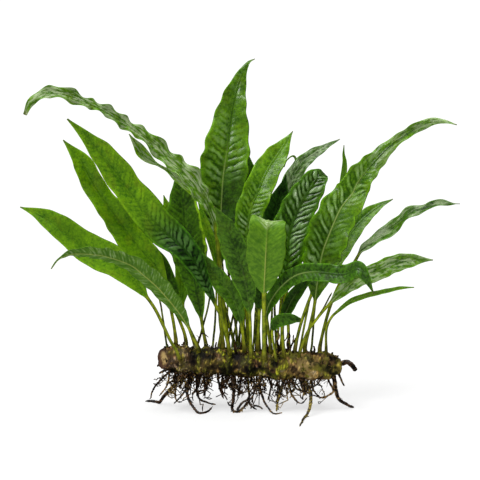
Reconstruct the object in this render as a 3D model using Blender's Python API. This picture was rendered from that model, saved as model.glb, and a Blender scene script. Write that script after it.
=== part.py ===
"""A bare java fern: a creeping rhizome with thirty leaves on top and twenty-five roots below.

Routes are written in millimetres as the plant is seen from the front: how far across, how high above the
floor line, and how far back. The function seen() turns them into places in space. Everything else is in
metres, +Z up, and the plant stands on the tips of its roots at Z = 0.
"""

import math

import bmesh
import bpy
import numpy as np
from mathutils import Vector
from mathutils.bvhtree import BVHTree

MM = 0.001

# The viewing direction that the routes were read from
VIEW_DISTANCE = 0.900
VIEW_TILT = math.radians(10.0)
VIEW_HEIGHT = 0.0867
FLOOR_LINE = 0.084

# Places the middle of the plant's box over the origin
SHIFT = Vector((-0.00045, 0.00449, 0.0))

# Gap left between the rhizome and whatever grows from it
GAP = 0.00035

# Rhizome: a creeping stem 12 mm thick, narrower at both ends
RHIZOME_RADIUS = 0.0061
LEFT_END_TAPER = 0.12
RIGHT_END_TAPER = 0.55
RHIZOME_SIDES = 14
RHIZOME_RINGS = 30
RHIZOME_ROUTE = [(-38.5, 25.0, -1.0), (-25.0, 24.6, 0.5), (-8.0, 23.6, 0.0), (8.0, 22.6, -0.5),
                 (24.0, 21.9, 0.0), (38.0, 21.4, 0.5), (49.0, 21.2, 0.0)]
# Knobs where old leaves grew: share of the length, angle round the stem, height in mm, spread in mm
KNOBS = [(0.06, 20, 0.9, 5.0), (0.14, -60, 0.8, 4.0), (0.22, 70, 0.9, 5.0), (0.30, -20, 1.0, 4.5),
         (0.37, -110, 0.8, 4.0), (0.45, 40, 1.0, 5.0), (0.52, -70, 0.9, 4.0), (0.60, 10, 1.1, 5.0),
         (0.67, -130, 0.8, 4.5), (0.74, -40, 1.0, 4.5), (0.80, 60, 0.9, 5.0), (0.87, -90, 0.9, 4.0),
         (0.93, 10, 1.0, 5.0)]

# Leaves: a round stalk 1.9 mm thick, then a blade 0.6 mm thick with a thicker midrib
STALK_RADIUS = 0.00095
BLADE_HALF_THICKNESS = 0.00030
RIB_HALF_THICKNESS = 0.00060
TIP_WIDTH = 0.0005
BASE_LENGTH = 0.003
RING_POINTS = 8
STALK_STEP = 0.018
BLADE_STEP = 0.0092
LEAST_BLADE_RINGS = 6
MOST_BLADE_RINGS = 12
# The upper face is carried along the leaf in this many steps, and faces the viewer at FACING_STEP
CARRY_STEPS = 60
FACING_STEP = 33
# How much later the wave on the right edge runs than the one on the left, in radians
WAVE_LAG = 1.3

# Roots: tapering round cords
ROOT_POINTS = 9
ROOT_BASE_LENGTH = 0.0015
ROOT_TIP_SHARE = 0.45
HORN_TIP_SHARE = 0.85


def seen(across, height, back):
    """The point at this depth that shows at this place in the front view, all in millimetres.

    With None for the depth it is the point of the floor that shows there.
    """
    toward = Vector((0.0, -math.cos(VIEW_TILT), math.sin(VIEW_TILT)))
    picture_up = Vector((0.0, math.sin(VIEW_TILT), math.cos(VIEW_TILT)))
    target = Vector((0.0, 0.0, VIEW_HEIGHT))
    eye = target + toward * VIEW_DISTANCE
    on_picture = target + Vector((across * MM, 0.0, 0.0)) + picture_up * (height * MM - FLOOR_LINE)
    ray = on_picture - eye
    if back is None:
        return eye + ray * (-eye.z / ray.z)
    return eye + ray * ((back * MM - eye.y) / ray.y)


def smooth_step(low, high, value):
    """0 below low, 1 above high, and smooth between."""
    share = min(max((value - low) / (high - low), 0.0), 1.0)
    return share * share * (3.0 - 2.0 * share)


def spline(points, steps=12):
    """A dense smooth curve through the given points."""
    ends = [points[0] * 2.0 - points[1]] + list(points) + [points[-1] * 2.0 - points[-2]]
    dense = []
    for index in range(1, len(ends) - 2):
        before, start, end, after = ends[index - 1:index + 3]
        for step in range(steps):
            t = step / steps
            dense.append(0.5 * (2.0 * start + (end - before) * t
                                + (2.0 * before - 5.0 * start + 4.0 * end - after) * t ** 2
                                + (3.0 * start - before - 3.0 * end + after) * t ** 3))
    dense.append(ends[-2])
    return dense


class Path:
    """A smooth curve that can be read at any share of its length."""

    def __init__(self, points):
        self.dense = spline(points)
        lengths = [0.0]
        for first, second in zip(self.dense, self.dense[1:]):
            lengths.append(lengths[-1] + (second - first).length)
        self.lengths = np.array(lengths)
        self.length = lengths[-1]

    def at(self, share):
        """The point at a share of the length, 0 at the base and 1 at the tip."""
        wanted = min(max(share, 0.0), 1.0) * self.length
        index = int(np.searchsorted(self.lengths, wanted, side="right")) - 1
        index = min(index, len(self.dense) - 2)
        span = self.lengths[index + 1] - self.lengths[index]
        return self.dense[index].lerp(self.dense[index + 1], (wanted - self.lengths[index]) / span)

    def direction(self, share):
        """The unit tangent at a share of the length."""
        reach = 0.012
        return (self.at(share + reach) - self.at(share - reach)).normalized()

    def carry(self, facing, start):
        """Carries a direction both ways along the curve without twist, from the step where it starts."""
        carried = {}
        for steps in (range(start, CARRY_STEPS + 1), range(start, -1, -1)):
            last = facing
            for step in steps:
                along = self.direction(step / CARRY_STEPS)
                last = (last - along * along.dot(last)).normalized()
                carried[step] = last
        return carried


def material(name, colour, roughness):
    """A plain finish in the plant's colour."""
    made = bpy.data.materials.new(name)
    made.use_nodes = True
    shader = made.node_tree.nodes["Principled BSDF"]
    shader.inputs["Base Color"].default_value = (*colour, 1.0)
    shader.inputs["Roughness"].default_value = roughness
    shader.inputs["Metallic"].default_value = 0.0
    return made


def loft(name, rings):
    """A closed skin over rings that all have the same number of points.

    Each cell is split into two triangles. The second half of a ring mirrors the first, and so do its
    diagonals, so the two faces of a thin blade stay the same distance apart where it bends.
    """
    shape = bmesh.new()
    rows = [[shape.verts.new(point) for point in ring] for ring in rings]
    count = len(rows[0])
    for lower, upper in zip(rows, rows[1:]):
        for index in range(count):
            after = (index + 1) % count
            if index < count // 2:
                shape.faces.new((lower[index], lower[after], upper[after]))
                shape.faces.new((lower[index], upper[after], upper[index]))
            else:
                shape.faces.new((lower[index], lower[after], upper[index]))
                shape.faces.new((lower[after], upper[after], upper[index]))
    shape.faces.new(list(reversed(rows[0])))
    shape.faces.new(rows[-1])
    bmesh.ops.recalc_face_normals(shape, faces=shape.faces)
    mesh = bpy.data.meshes.new(name)
    shape.to_mesh(mesh)
    shape.free()
    mesh.shade_smooth()
    mesh.set_sharp_from_angle(angle=math.radians(60.0))
    return mesh


def add(name, data, finish, collection, parent):
    """One named object of the plant, with its finish."""
    thing = bpy.data.objects.new(name, data)
    data.materials.append(finish)
    collection.objects.link(thing)
    thing.parent = parent
    return thing


def rhizome_mesh(path):
    """The creeping stem: round rings of changing size with knobs, cut off square at the left end."""
    rings = []
    for row in range(RHIZOME_RINGS):
        share = row / (RHIZOME_RINGS - 1)
        centre = path.at(share)
        along = path.direction(share)
        up = (Vector((0, 0, 1)) - along * along.z).normalized()
        back = up.cross(along)
        taper = 1.0 - RIGHT_END_TAPER * smooth_step(0.93, 1.0, share)
        taper -= LEFT_END_TAPER * (1.0 - smooth_step(0.0, 0.04, share))
        swell = 1.0 + 0.05 * math.sin(share * 31.0) + 0.04 * math.sin(share * 53.0 + 1.0)
        ring = []
        for side in range(RHIZOME_SIDES):
            angle = 2.0 * math.pi * side / RHIZOME_SIDES
            radius = RHIZOME_RADIUS * taper * swell
            for knob_share, knob_angle, knob_height, knob_spread in KNOBS:
                turn = (angle - math.radians(knob_angle) + math.pi) % (2.0 * math.pi) - math.pi
                off = math.hypot((share - knob_share) * path.length, turn * RHIZOME_RADIUS)
                radius += knob_height * MM * math.exp(-(off / (knob_spread * MM)) ** 2)
            ring.append(centre + up * (radius * math.cos(angle)) + back * (radius * math.sin(angle)))
        rings.append(ring)
    return loft("rhizome", rings)


class Stem:
    """The rhizome's skin, for finding where leaves and roots grow out of it."""

    def __init__(self, mesh, path):
        self.path = path
        self.tree = BVHTree.FromPolygons([v.co for v in mesh.vertices],
                                         [tuple(p.vertices) for p in mesh.polygons])

    def outward(self, angle):
        """The direction straight out of the stem: 0 degrees is up, -90 the front, 180 the underside."""
        return Vector((0.0, math.sin(math.radians(angle)), math.cos(math.radians(angle))))

    def axis_point(self, across):
        """The point of the stem's axis at this place across, in metres."""
        low, high = 0.0, 1.0
        for _ in range(30):
            middle = (low + high) / 2.0
            if self.path.at(middle).x < across:
                low = middle
            else:
                high = middle
        return self.path.at(low)

    def skin(self, point, out):
        """The place just outside the skin on the line through a point, or None where it misses."""
        far = 0.030
        hit, normal, _, _ = self.tree.ray_cast(point + out * far, -out, 2.0 * far)
        if hit is None:
            return None
        slope = max(abs(normal.dot(out)), 0.5)
        return hit + out * (GAP / slope)


def blade_half(widths, share):
    """Half the blade's width in metres, smooth between widths in mm at even steps from stalk to tip."""
    place = min(max(share, 0.0), 1.0) * (len(widths) - 1)
    index = min(int(place), len(widths) - 2)
    t = place - index
    start, end = widths[index], widths[index + 1]
    before = widths[max(index - 1, 0)]
    after = widths[min(index + 2, len(widths) - 1)]
    width = 0.5 * (2.0 * start + (end - before) * t
                   + (2.0 * before - 5.0 * start + 4.0 * end - after) * t ** 2
                   + (3.0 * start - before - 3.0 * end + after) * t ** 3)
    return 0.5 * max(width * MM, TIP_WIDTH)


def leaf_mesh(stem, name, across, angle, route, widths, stalk=0.25, turn=(0.0, 0.0), fold=0.15,
              ripple=0.0, waves=4.0, thick=1.0):
    """One leaf: a round stalk that flattens into a blade with a midrib, a shallow fold and a wavy edge.

    turn is how far the upper face swings from the viewer to its right, in degrees, at base and tip.
    """
    out = stem.outward(angle)
    start = stem.skin(stem.axis_point(across * MM), out)
    points = [start, start + out * BASE_LENGTH] + [seen(*place) for place in route]
    path = Path(points)
    stalk_rings = max(3, round(stalk * path.length / STALK_STEP))
    blade_rings = round((1.0 - stalk) * path.length / BLADE_STEP)
    blade_rings = min(max(blade_rings, LEAST_BLADE_RINGS), MOST_BLADE_RINGS)
    shares = [stalk * row / stalk_rings for row in range(stalk_rings)]
    shares += [stalk + (1.0 - stalk) * row / blade_rings for row in range(blade_rings + 1)]
    fronts = path.carry(Vector((0.0, -math.cos(VIEW_TILT), math.sin(VIEW_TILT))), FACING_STEP)
    radius = STALK_RADIUS * thick
    rings = []
    for share in shares:
        centre = path.at(share)
        along = path.direction(share)
        step = min(int(share * CARRY_STEPS), CARRY_STEPS - 1)
        front = fronts[step].lerp(fronts[step + 1], share * CARRY_STEPS - step)
        front = (front - along * along.dot(front)).normalized()
        side = along.cross(front)
        swing = math.radians(turn[0] + (turn[1] - turn[0]) * share)
        upper = front * math.cos(swing) + side * math.sin(swing)
        right = along.cross(upper)
        blade = max((share - stalk) / (1.0 - stalk), 0.0)
        half = blade_half(widths, blade) if blade > 0.0 else 0.0
        stem_radius = radius * (1.0 - 0.55 * blade)
        flat = max(smooth_step(1.0, 3.0, half / stem_radius), smooth_step(0.4, 0.8, blade))
        half = max(half, stem_radius * (1.0 - flat))
        rib = RIB_HALF_THICKNESS * thick * (1.0 - 0.75 * blade)
        skin = min(BLADE_HALF_THICKNESS, half * 0.5)
        section = [(-1.0, 0.0), (-0.5, skin), (0.0, rib), (0.5, skin),
                   (1.0, 0.0), (0.5, -skin), (0.0, -rib), (-0.5, -skin)]
        ring = []
        for index, (place, height) in enumerate(section):
            round_angle = math.pi - 2.0 * math.pi * index / RING_POINTS
            stalk_at = Vector((math.cos(round_angle), math.sin(round_angle))) * stem_radius
            wave = ripple * MM * math.sin(2.0 * math.pi * waves * blade + (WAVE_LAG if place > 0 else 0.0))
            lift = abs(place) * half * fold + wave * place * place
            blade_at = Vector((place * half, height + lift))
            at = stalk_at.lerp(blade_at, flat)
            ring.append(centre + right * at.x + upper * at.y)
        rings.append(ring)
    base = [stem.skin(point_at, out) for point_at in rings[0]]
    rings[0] = [seat or start for seat in base]
    return loft(name, rings)


def root_curve(stem, name, across, angle, route, thick):
    """One root: a tapering round cord from under the rhizome, resting on the floor where it gets there."""
    out = stem.outward(angle)
    start = stem.skin(stem.axis_point(across * MM), out) + out * (0.5 * GAP)
    radius = thick / 2.0 * MM
    points = [start, start + out * ROOT_BASE_LENGTH] + [seen(*place) for place in route]
    path = Path(points)
    curve = bpy.data.curves.new(name, "CURVE")
    curve.dimensions = "3D"
    curve.bevel_depth = radius
    curve.bevel_resolution = 1
    curve.use_fill_caps = True
    line = curve.splines.new("POLY")
    line.points.add(ROOT_POINTS - 1)
    for index, control in enumerate(line.points):
        share = index / (ROOT_POINTS - 1)
        taper = 1.0 - (1.0 - ROOT_TIP_SHARE) * share ** 1.5
        place = path.at(share)
        place.z = max(place.z, radius * taper)
        control.co = (*place, 1.0)
        control.radius = taper
    return curve


# Each leaf: name, place across and angle on the rhizome, route from stalk to tip, blade widths in mm
LEAVES = [
    dict(name="leaf_far_left_wavy", across=-8.5, angle=0,
         route=[(-10, 44, 0), (-10.5, 60, 0), (-11, 77, -2.5), (-13.5, 94, -5), (-22.5, 111.5, -6.5),
                (-37.5, 126.5, -9), (-52.5, 139, -13), (-68, 148.7, -19.5), (-85, 156, -27.5),
                (-97, 157.5, -34), (-104.5, 153, -37.5), (-107.5, 146.5, -40.5)],
         widths=(3, 11.5, 10, 7.5, 6, 7, 2), stalk=0.33, turn=(28, 43), ripple=1.0, waves=5.0),
    dict(name="leaf_spoon_tipped", across=-6.0, angle=32,
         route=[(-7.5, 44, 5), (-9.5, 60, 4.5), (-10.5, 80, 3), (-13, 95, 2.5), (-20, 105.5, 1.5),
                (-25, 110, 0), (-31, 114.5, -2.5), (-35.7, 118.5, -4), (-40, 121, -6.5),
                (-45, 124, -9), (-50, 128.5, -11.5), (-53, 133, -14.5), (-55.5, 137, -17)],
         widths=(2.5, 5, 6, 5, 1.8, 7, 0.5), stalk=0.45, turn=(30, 35)),
    dict(name="leaf_broad_left", across=-5.5, angle=-38,
         route=[(-9, 44, -7), (-13, 53, -9), (-17.3, 62, -11), (-22.6, 72.8, -12.5), (-28.6, 80.2, -13),
                (-37.8, 88.2, -13), (-48.7, 99.4, -14.5), (-57.2, 111, -15.5), (-62.5, 118.2, -17),
                (-69.5, 126.7, -19.5), (-78.5, 137.2, -23.5), (-86.5, 144.5, -26)],
         widths=(2.2, 11, 17.8, 17, 13, 0.5), stalk=0.18, turn=(25, 30), ripple=0.6),
    dict(name="leaf_left_behind_broad", across=-27.5, angle=35,
         route=[(-28, 38, 6), (-30.6, 45, 8), (-33, 54, 9), (-36.5, 64, 9.5), (-41, 72, 9),
                (-47.5, 80, 8.5), (-54, 89, 8), (-59, 96, 7.5)],
         widths=(2, 6.5, 9.5, 10, 7, 0.5), stalk=0.16, turn=(25, 25)),
    dict(name="leaf_middle_left", across=-32.5, angle=15,
         route=[(-33.5, 44, 4), (-36, 55.5, 4), (-39, 64, 4), (-43.2, 72.2, 2.5), (-49.2, 78.5, 2),
                (-56, 87.2, 1.5), (-61, 94, 0), (-66.7, 101.7, -1.5), (-72, 109.2, -2.5),
                (-76.7, 117.7, -4), (-80, 124.2, -5), (-84, 129, -6), (-88.5, 134, -6.5)],
         widths=(3, 11.5, 15.5, 13.3, 11.3, 10, 0.5), stalk=0.24, turn=(10, 15), ripple=0.7),
    dict(name="leaf_low_left", across=-30.5, angle=-75,
         route=[(-32, 29, -11.5), (-35, 34, -13), (-38.5, 41.5, -14.5), (-42.5, 49.5, -15.5),
                (-47, 56, -16), (-54, 65, -17), (-61.5, 72, -18), (-70.2, 76.5, -19.5),
                (-77.7, 80.5, -21), (-85.5, 86.7, -23.5), (-92.2, 91.7, -26), (-101, 97, -28.5),
                (-110, 100.5, -31)],
         widths=(2.5, 12.5, 16.5, 14.5, 10.5, 0.5), stalk=0.33, turn=(15, 25)),
    dict(name="leaf_front_arching_left", across=-21, angle=-35,
         route=[(-25, 39, -10.5), (-28.7, 45.6, -14.5), (-34, 52.5, -18), (-41, 60.5, -23.5),
                (-48, 66.7, -27.5), (-55, 72, -31), (-66.5, 76, -36.5), (-74, 77.2, -40.5),
                (-82, 77.5, -43), (-87, 76.5, -45.5), (-91, 74, -47.5), (-94.5, 69.5, -49.5)],
         widths=(2.5, 10.5, 13, 11, 8.5, 0.5), stalk=0.15, turn=(136, 144)),
    dict(name="leaf_upright_behind", across=-17.5, angle=50,
         route=[(-18.5, 39, 8.5), (-20, 49, 9.5), (-21.8, 58, 10.3), (-23.2, 67, 11),
                (-25.2, 78, 12), (-27.5, 89, 13), (-28.8, 104, 14.5), (-31, 114, 15.5),
                (-33, 118.5, 16)],
         widths=(2, 8, 14, 19.5, 18.5, 12.5, 0.5), stalk=0.15, turn=(-5, -10)),
    dict(name="leaf_small_behind_left", across=-23, angle=50,
         route=[(-25.8, 41, 10), (-28.6, 51, 13.5), (-28.8, 60, 16), (-28, 71, 18.5),
                (-30.5, 86, 21), (-35.5, 98, 22.5), (-38.2, 106.5, 23.5)],
         widths=(2, 7.5, 9.5, 9.5, 8.5, 0.5), stalk=0.27),
    dict(name="leaf_young_centre_left", across=-10.5, angle=48,
         route=[(-8.8, 44, 10), (-9.8, 60, 10), (-11.5, 71, 9), (-13.3, 80, 8.5), (-15.8, 88, 8),
                (-18.3, 95.5, 8), (-21, 103.5, 8.5)],
         widths=(1.5, 3.2, 4.2, 4.0, 0.5), stalk=0.45),
    dict(name="leaf_tall_centre", across=-2.5, angle=48,
         route=[(-7, 48, 12.5), (-9.8, 60, 14.5), (-10.6, 72, 16.5), (-10.2, 86, 19), (-9.5, 98, 21),
                (-8.5, 115, 23), (-6.5, 129, 24.5), (-4.5, 145, 27.5), (-2.5, 156, 28.5),
                (0.5, 166, 30.5), (4, 172.5, 32), (7.5, 174.5, 33)],
         widths=(2, 16, 25, 22, 12, 0.5), stalk=0.27, turn=(0, -5), ripple=0.8),
    dict(name="leaf_behind_tall", across=4, angle=55,
         route=[(3, 55, 18), (2, 80, 26), (2.5, 105, 34), (2.5, 120, 37.5), (1, 133, 41.5)],
         widths=(2, 9, 14, 14, 11, 0.5), stalk=0.3),
    dict(name="leaf_centre_right", across=1.5, angle=15,
         route=[(2, 50, 5), (3, 75, 8), (4.5, 95.5, 10.5), (9, 108, 11.5), (13.5, 118.5, 13),
                (20, 128.5, 15.5), (26.5, 138.5, 18)],
         widths=(2, 11.5, 14.8, 14.5, 11.5, 0.5), stalk=0.37, turn=(-5, -15), ripple=0.5),
    dict(name="leaf_dark_beside_centre", across=12, angle=45,
         route=[(12.5, 60, 14.5), (15, 85, 19.5), (18.5, 100, 22), (22, 112, 23.5), (23, 117, 24)],
         widths=(2, 9, 12, 11, 0.5), stalk=0.35),
    dict(name="leaf_low_centre_left", across=2, angle=-22,
         route=[(0.8, 41, -3), (-0.8, 48.5, -4.5), (-3.8, 55.8, -5), (-8.3, 61.6, -6),
                (-13.5, 67.4, -6), (-19.5, 74.5, -6), (-26, 82, -5)],
         widths=(2, 7, 9.5, 9, 6.5, 0.5), stalk=0.20),
    dict(name="leaf_front_dark", across=5.5, angle=-48,
         route=[(5, 44, -10.5), (3.5, 59, -14.5), (0.5, 71.5, -17), (-3.5, 82.5, -19), (-8, 93, -21),
                (-13, 101, -23.5)],
         widths=(2, 8, 13.5, 14, 10, 0.5), stalk=0.27, turn=(-10, -15)),
    dict(name="leaf_front_light", across=12, angle=-50,
         route=[(12, 45, -14.5), (12, 59, -21), (12.5, 70, -24.5), (13, 80, -27.5), (13.5, 88, -28.5),
                (14, 93.5, -26.5), (14.5, 94, -19.5), (15, 90, -11.5)],
         widths=(2, 9, 15.5, 18.5, 19, 18, 16, 10, 0.5), stalk=0.4, turn=(180, 180), fold=-0.10,
         thick=1.3),
    dict(name="leaf_behind_front_light", across=9, angle=12,
         route=[(9.5, 45, 1.5), (10, 60, -2.5), (11, 75, -5), (12, 88, -6.5)],
         widths=(2, 7, 8, 6, 0.5), stalk=0.3),
    dict(name="leaf_front_arching_right", across=15.5, angle=-20,
         route=[(14, 40, -6.5), (13.4, 48, -10.5), (16.2, 54.8, -15.5), (21.3, 61.3, -21), (28, 66.3, -26),
                (36, 68, -31), (44, 67.4, -36.5), (52, 66.8, -41.5), (59, 69.5, -45.5), (63, 65, -48),
                (67, 57, -50.5)],
         widths=(2.5, 8, 9, 8.8, 8.5, 0.5), stalk=0.17, turn=(3, -27)),
    dict(name="leaf_under_arching", across=22, angle=-40,
         route=[(21.3, 42, -9), (24.3, 50.5, -13), (28, 57, -15.5), (33, 63, -18), (39, 69, -19.5)],
         widths=(2, 6, 7, 5, 0.5), stalk=0.3, turn=(-20, -30)),
    dict(name="leaf_small_low", across=18, angle=-60,
         route=[(16.2, 36, -12.5), (16.8, 40.5, -15.5), (19.2, 43.4, -18.5), (23, 44.6, -21),
                (27, 44.8, -23), (30.3, 44, -24.5)],
         widths=(1.2, 4.8, 6.6, 6, 2.5), stalk=0.46, turn=(-15, -20), thick=0.75),
    dict(name="leaf_blunt_right", across=21, angle=5,
         route=[(22, 50, 4), (23.5, 70, 6.5), (24.5, 85, 8.5), (26, 91, 9), (28, 96.5, 10.5),
                (31, 103, 11.5), (35.2, 109.8, 13), (38.6, 115, 15.5), (41.4, 117, 20.5),
                (42.8, 116.4, 25.5)],
         widths=(2.5, 13, 18, 18.5, 16.5, 11.5, 3), stalk=0.3, turn=(-5, -5)),
    dict(name="leaf_curled_back", across=18.5, angle=50,
         route=[(20.5, 55, 19.5), (22, 85, 28.5), (24.5, 105, 34), (26.5, 117, 35), (28, 123.5, 34),
                (26.5, 126, 32.5), (23.5, 124, 30), (22, 120.5, 28.5)],
         widths=(2, 5, 7.5, 6, 1.8, 1.3, 0.9), stalk=0.35, thick=0.8),
    dict(name="leaf_narrow_back", across=25, angle=40,
         route=[(23.5, 55, 14), (21.5, 80, 22), (22, 100, 27.5), (26, 114, 30), (32.5, 123.5, 31.5),
                (41.3, 129.7, 33), (50, 134.5, 36.5)],
         widths=(2, 7, 9.5, 9.5, 7, 0.5), stalk=0.3, turn=(-14, -30)),
    dict(name="leaf_thin_upright", across=30.5, angle=52,
         route=[(35, 55, 17), (42.5, 85, 27.5), (49, 105, 32.5), (51.8, 117, 35), (52.3, 123, 36),
                (51.8, 127, 36.5), (52, 131.5, 37)],
         widths=(1.5, 2.2, 2.6, 2.4, 1.8, 3.0, 0.5), stalk=0.3, thick=0.7),
    dict(name="leaf_big_right", across=33, angle=5,
         route=[(34, 37, 0), (37, 50, -1.5), (38.5, 61.5, -2.5), (41, 76.5, -4), (45.5, 89, -5),
                (50.5, 100, -5), (56.2, 107.2, -5), (59, 113, -5), (65.7, 121.5, -6.5), (75, 131, -8),
                (80, 134.7, -10), (87.5, 139.5, -13), (95, 143, -17), (102, 143.3, -19.5),
                (108.5, 141.5, -22)],
         widths=(2.5, 16, 21, 19.5, 15.5, 9.5, 5.5, 4.5, 0.5), stalk=0.18, turn=(0, -25),
         ripple=1.0),
    dict(name="leaf_right_behind", across=28, angle=15,
         route=[(31, 44, 6.5), (37.5, 60.5, 10.5), (45, 71, 13), (52, 82.3, 15.5), (59.3, 92.3, 18),
                (67.8, 99.8, 20), (76.5, 104.5, 22)],
         widths=(2, 8.5, 11, 10, 6.5, 0.5), stalk=0.32, turn=(-15, -25)),
    dict(name="leaf_right_wavy", across=40.5, angle=10,
         route=[(42, 40, 1.5), (45.5, 52, 0), (50.5, 63.5, -1.5), (56, 71, -2.5), (61, 79, -5),
                (66, 83.2, -6.5), (74, 88, -8), (80, 93.5, -10.5), (86, 98, -13), (93, 100.2, -15.5),
                (100, 102.5, -18), (110, 102, -23.5)],
         widths=(2.5, 7, 8.5, 6, 4, 0.5), stalk=0.47, turn=(-37, -47), ripple=0.8),
    dict(name="leaf_right_lower", across=30, angle=-35,
         route=[(33.5, 37.5, -7), (38, 44, -8.5), (42.5, 49.5, -10.5), (48.5, 56, -13),
                (54, 61, -15.5), (61, 65.5, -19.5), (67.5, 67.7, -22), (75.5, 71.5, -26),
                (82.5, 73.5, -28.5), (90, 74.2, -32.5), (96.5, 74, -36.5)],
         widths=(2.2, 6.5, 8.5, 9, 7, 0.5), stalk=0.35, turn=(1, -9), thick=0.85),
    dict(name="leaf_lowest_right", across=43.5, angle=-20,
         route=[(43.2, 39, -4), (45.5, 45, -6.5), (49.5, 48.9, -9), (55, 53.1, -13), (62.5, 56, -17),
                (71, 58, -22), (80.5, 60, -27.5), (87, 60.3, -32.5)],
         widths=(2, 2.9, 3, 2.6, 2, 0.5), stalk=0.3, turn=(-22, -32), thick=0.8),
]

# Each root: name, place across and angle on the rhizome, route to the tip, thickness in mm
ROOTS = [
    dict(name="root_right_thick", across=47.3, angle=180,
         route=[(47.5, 12, 0), (47.8, 8.8, 0), (49.6, 4.6, 0), (53.4, 1.9, 0), (57.2, 0, None)],
         thick=2.4),
    dict(name="root_front_long", across=32, angle=-165,
         route=[(35, 8, -6), (35, 1, -14), (32.5, -5, None), (29.5, -9.5, None)],
         thick=1.9),
    dict(name="root_right_loop", across=44.5, angle=-170,
         route=[(46.2, 10.5, -3), (46.6, 8, -3.5), (43.5, 5.9, -4.5), (40.5, 5.3, -5), (36.2, 6.5, -4)],
         thick=1.1),
    dict(name="root_front_right", across=22, angle=-155,
         route=[(20.5, 9, -5), (19, 4, -6), (18, -2, None)],
         thick=1.7),
    dict(name="root_front_v", across=25.5, angle=-170,
         route=[(25, 9, -3), (27, 5, -4), (30.5, 2.4, -4), (33.5, 5, -3)],
         thick=1.2),
    dict(name="root_centre_loop", across=10, angle=-160,
         route=[(10.5, 7.5, -4), (13.5, 1, -6), (17.5, -3.2, None), (21, -2.6, None)],
         thick=1.3),
    dict(name="root_centre_hook", across=-4, angle=-150,
         route=[(-3.5, 9, -5), (-3.5, 4, -6), (-3.8, 0, -7), (-2, -2.4, None), (2, 0.5, -8),
                (6.5, 6, -7), (8, 10.5, -6.5)],
         thick=1.6),
    dict(name="root_centre_short", across=4, angle=180,
         route=[(4.5, 6.5, 0), (5, 1.5, 0), (8.5, -1, None)],
         thick=1.3),
    dict(name="root_left_loop", across=-25, angle=-165,
         route=[(-26.5, 8, -5), (-24, 1, -8), (-19.5, -3, None), (-15.5, -1, -8), (-13.5, 1, -7)],
         thick=1.7),
    dict(name="root_left_inner", across=-22, angle=170,
         route=[(-21, 6, 1), (-15.5, 2.6, 5), (-12, 1.6, None)],
         thick=1.3),
    dict(name="root_left_thick", across=-28, angle=165,
         route=[(-32.5, 12, 3), (-38, 6, 5), (-41, 2.3, None), (-44.5, 3, None), (-47.5, 3, None)],
         thick=2.2),
    dict(name="root_left_arc_outer", across=-35, angle=150,
         route=[(-41, 12.5, 8), (-44, 8, 12), (-45, 4.5, None)],
         thick=1.2),
    dict(name="root_left_arc_inner", across=-35.5, angle=-160,
         route=[(-37, 10.5, -4), (-40.5, 6, -5)],
         thick=1.1),
    dict(name="root_left_v", across=-31, angle=180,
         route=[(-32.5, 7.5, 0), (-31.5, 3.5, -1), (-29, 3, -2)],
         thick=1.1),
    dict(name="root_back_left", across=-20, angle=140,
         route=[(-21, 11, 12), (-23, 8, 19), (-24, 6.8, None)],
         thick=1.6),
    dict(name="root_back_centre", across=-3, angle=135,
         route=[(-2, 11, 12), (0, 8.5, 20), (2, 7.5, None)],
         thick=1.5),
    dict(name="root_back_right", across=30, angle=140,
         route=[(31, 11, 12), (33, 8, 19), (36, 6.6, None)],
         thick=1.6),
    dict(name="root_mat_left_outer", across=-16, angle=175,
         route=[(-16.5, 11, -1), (-18, 6, -3)],
         thick=1.2),
    dict(name="root_mat_left_inner", across=-11, angle=-160,
         route=[(-10, 10, -4), (-8, 4.5, -4)],
         thick=1.2),
    dict(name="root_mat_centre_left", across=-8.5, angle=160,
         route=[(-9, 10, 5), (-6.5, 4, 8)],
         thick=1.2),
    dict(name="root_mat_centre", across=0.5, angle=175,
         route=[(0, 10, 2), (-1.5, 5, 2)],
         thick=1.2),
    dict(name="root_mat_centre_right", across=14.5, angle=170,
         route=[(15.5, 10, 3), (14, 4, 6)],
         thick=1.2),
    dict(name="root_mat_right_inner", across=18.5, angle=150,
         route=[(19.5, 9.5, 10), (22, 5, 15)],
         thick=1.2),
    dict(name="root_mat_right_outer", across=36, angle=165,
         route=[(37, 9, 4), (40, 5, 9)],
         thick=1.2),
]

# The short horn on the right end grows sideways out of the stub, so it has its own numbers
HORN = dict(name="root_right_horn", thick=2.6,
            route=[(51.6, 22.6, 0), (53.8, 23.0, -1), (56.2, 21.2, -2), (58.0, 18.5, -2.5)])


def horn_curve(stem):
    """The short thick root that leaves the stub at the right end and turns down."""
    curve = bpy.data.curves.new(HORN["name"], "CURVE")
    curve.dimensions = "3D"
    curve.bevel_depth = HORN["thick"] / 2.0 * MM
    curve.bevel_resolution = 1
    curve.use_fill_caps = True
    end = stem.path.at(1.0) + stem.path.direction(1.0) * (2.0 * GAP)
    places = [end] + [seen(*place) for place in HORN["route"]]
    path = Path(places)
    line = curve.splines.new("POLY")
    line.points.add(ROOT_POINTS - 3)
    for index, control in enumerate(line.points):
        share = index / (ROOT_POINTS - 3)
        control.co = (*path.at(share), 1.0)
        control.radius = 1.0 - (1.0 - HORN_TIP_SHARE) * share
    return curve


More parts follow.
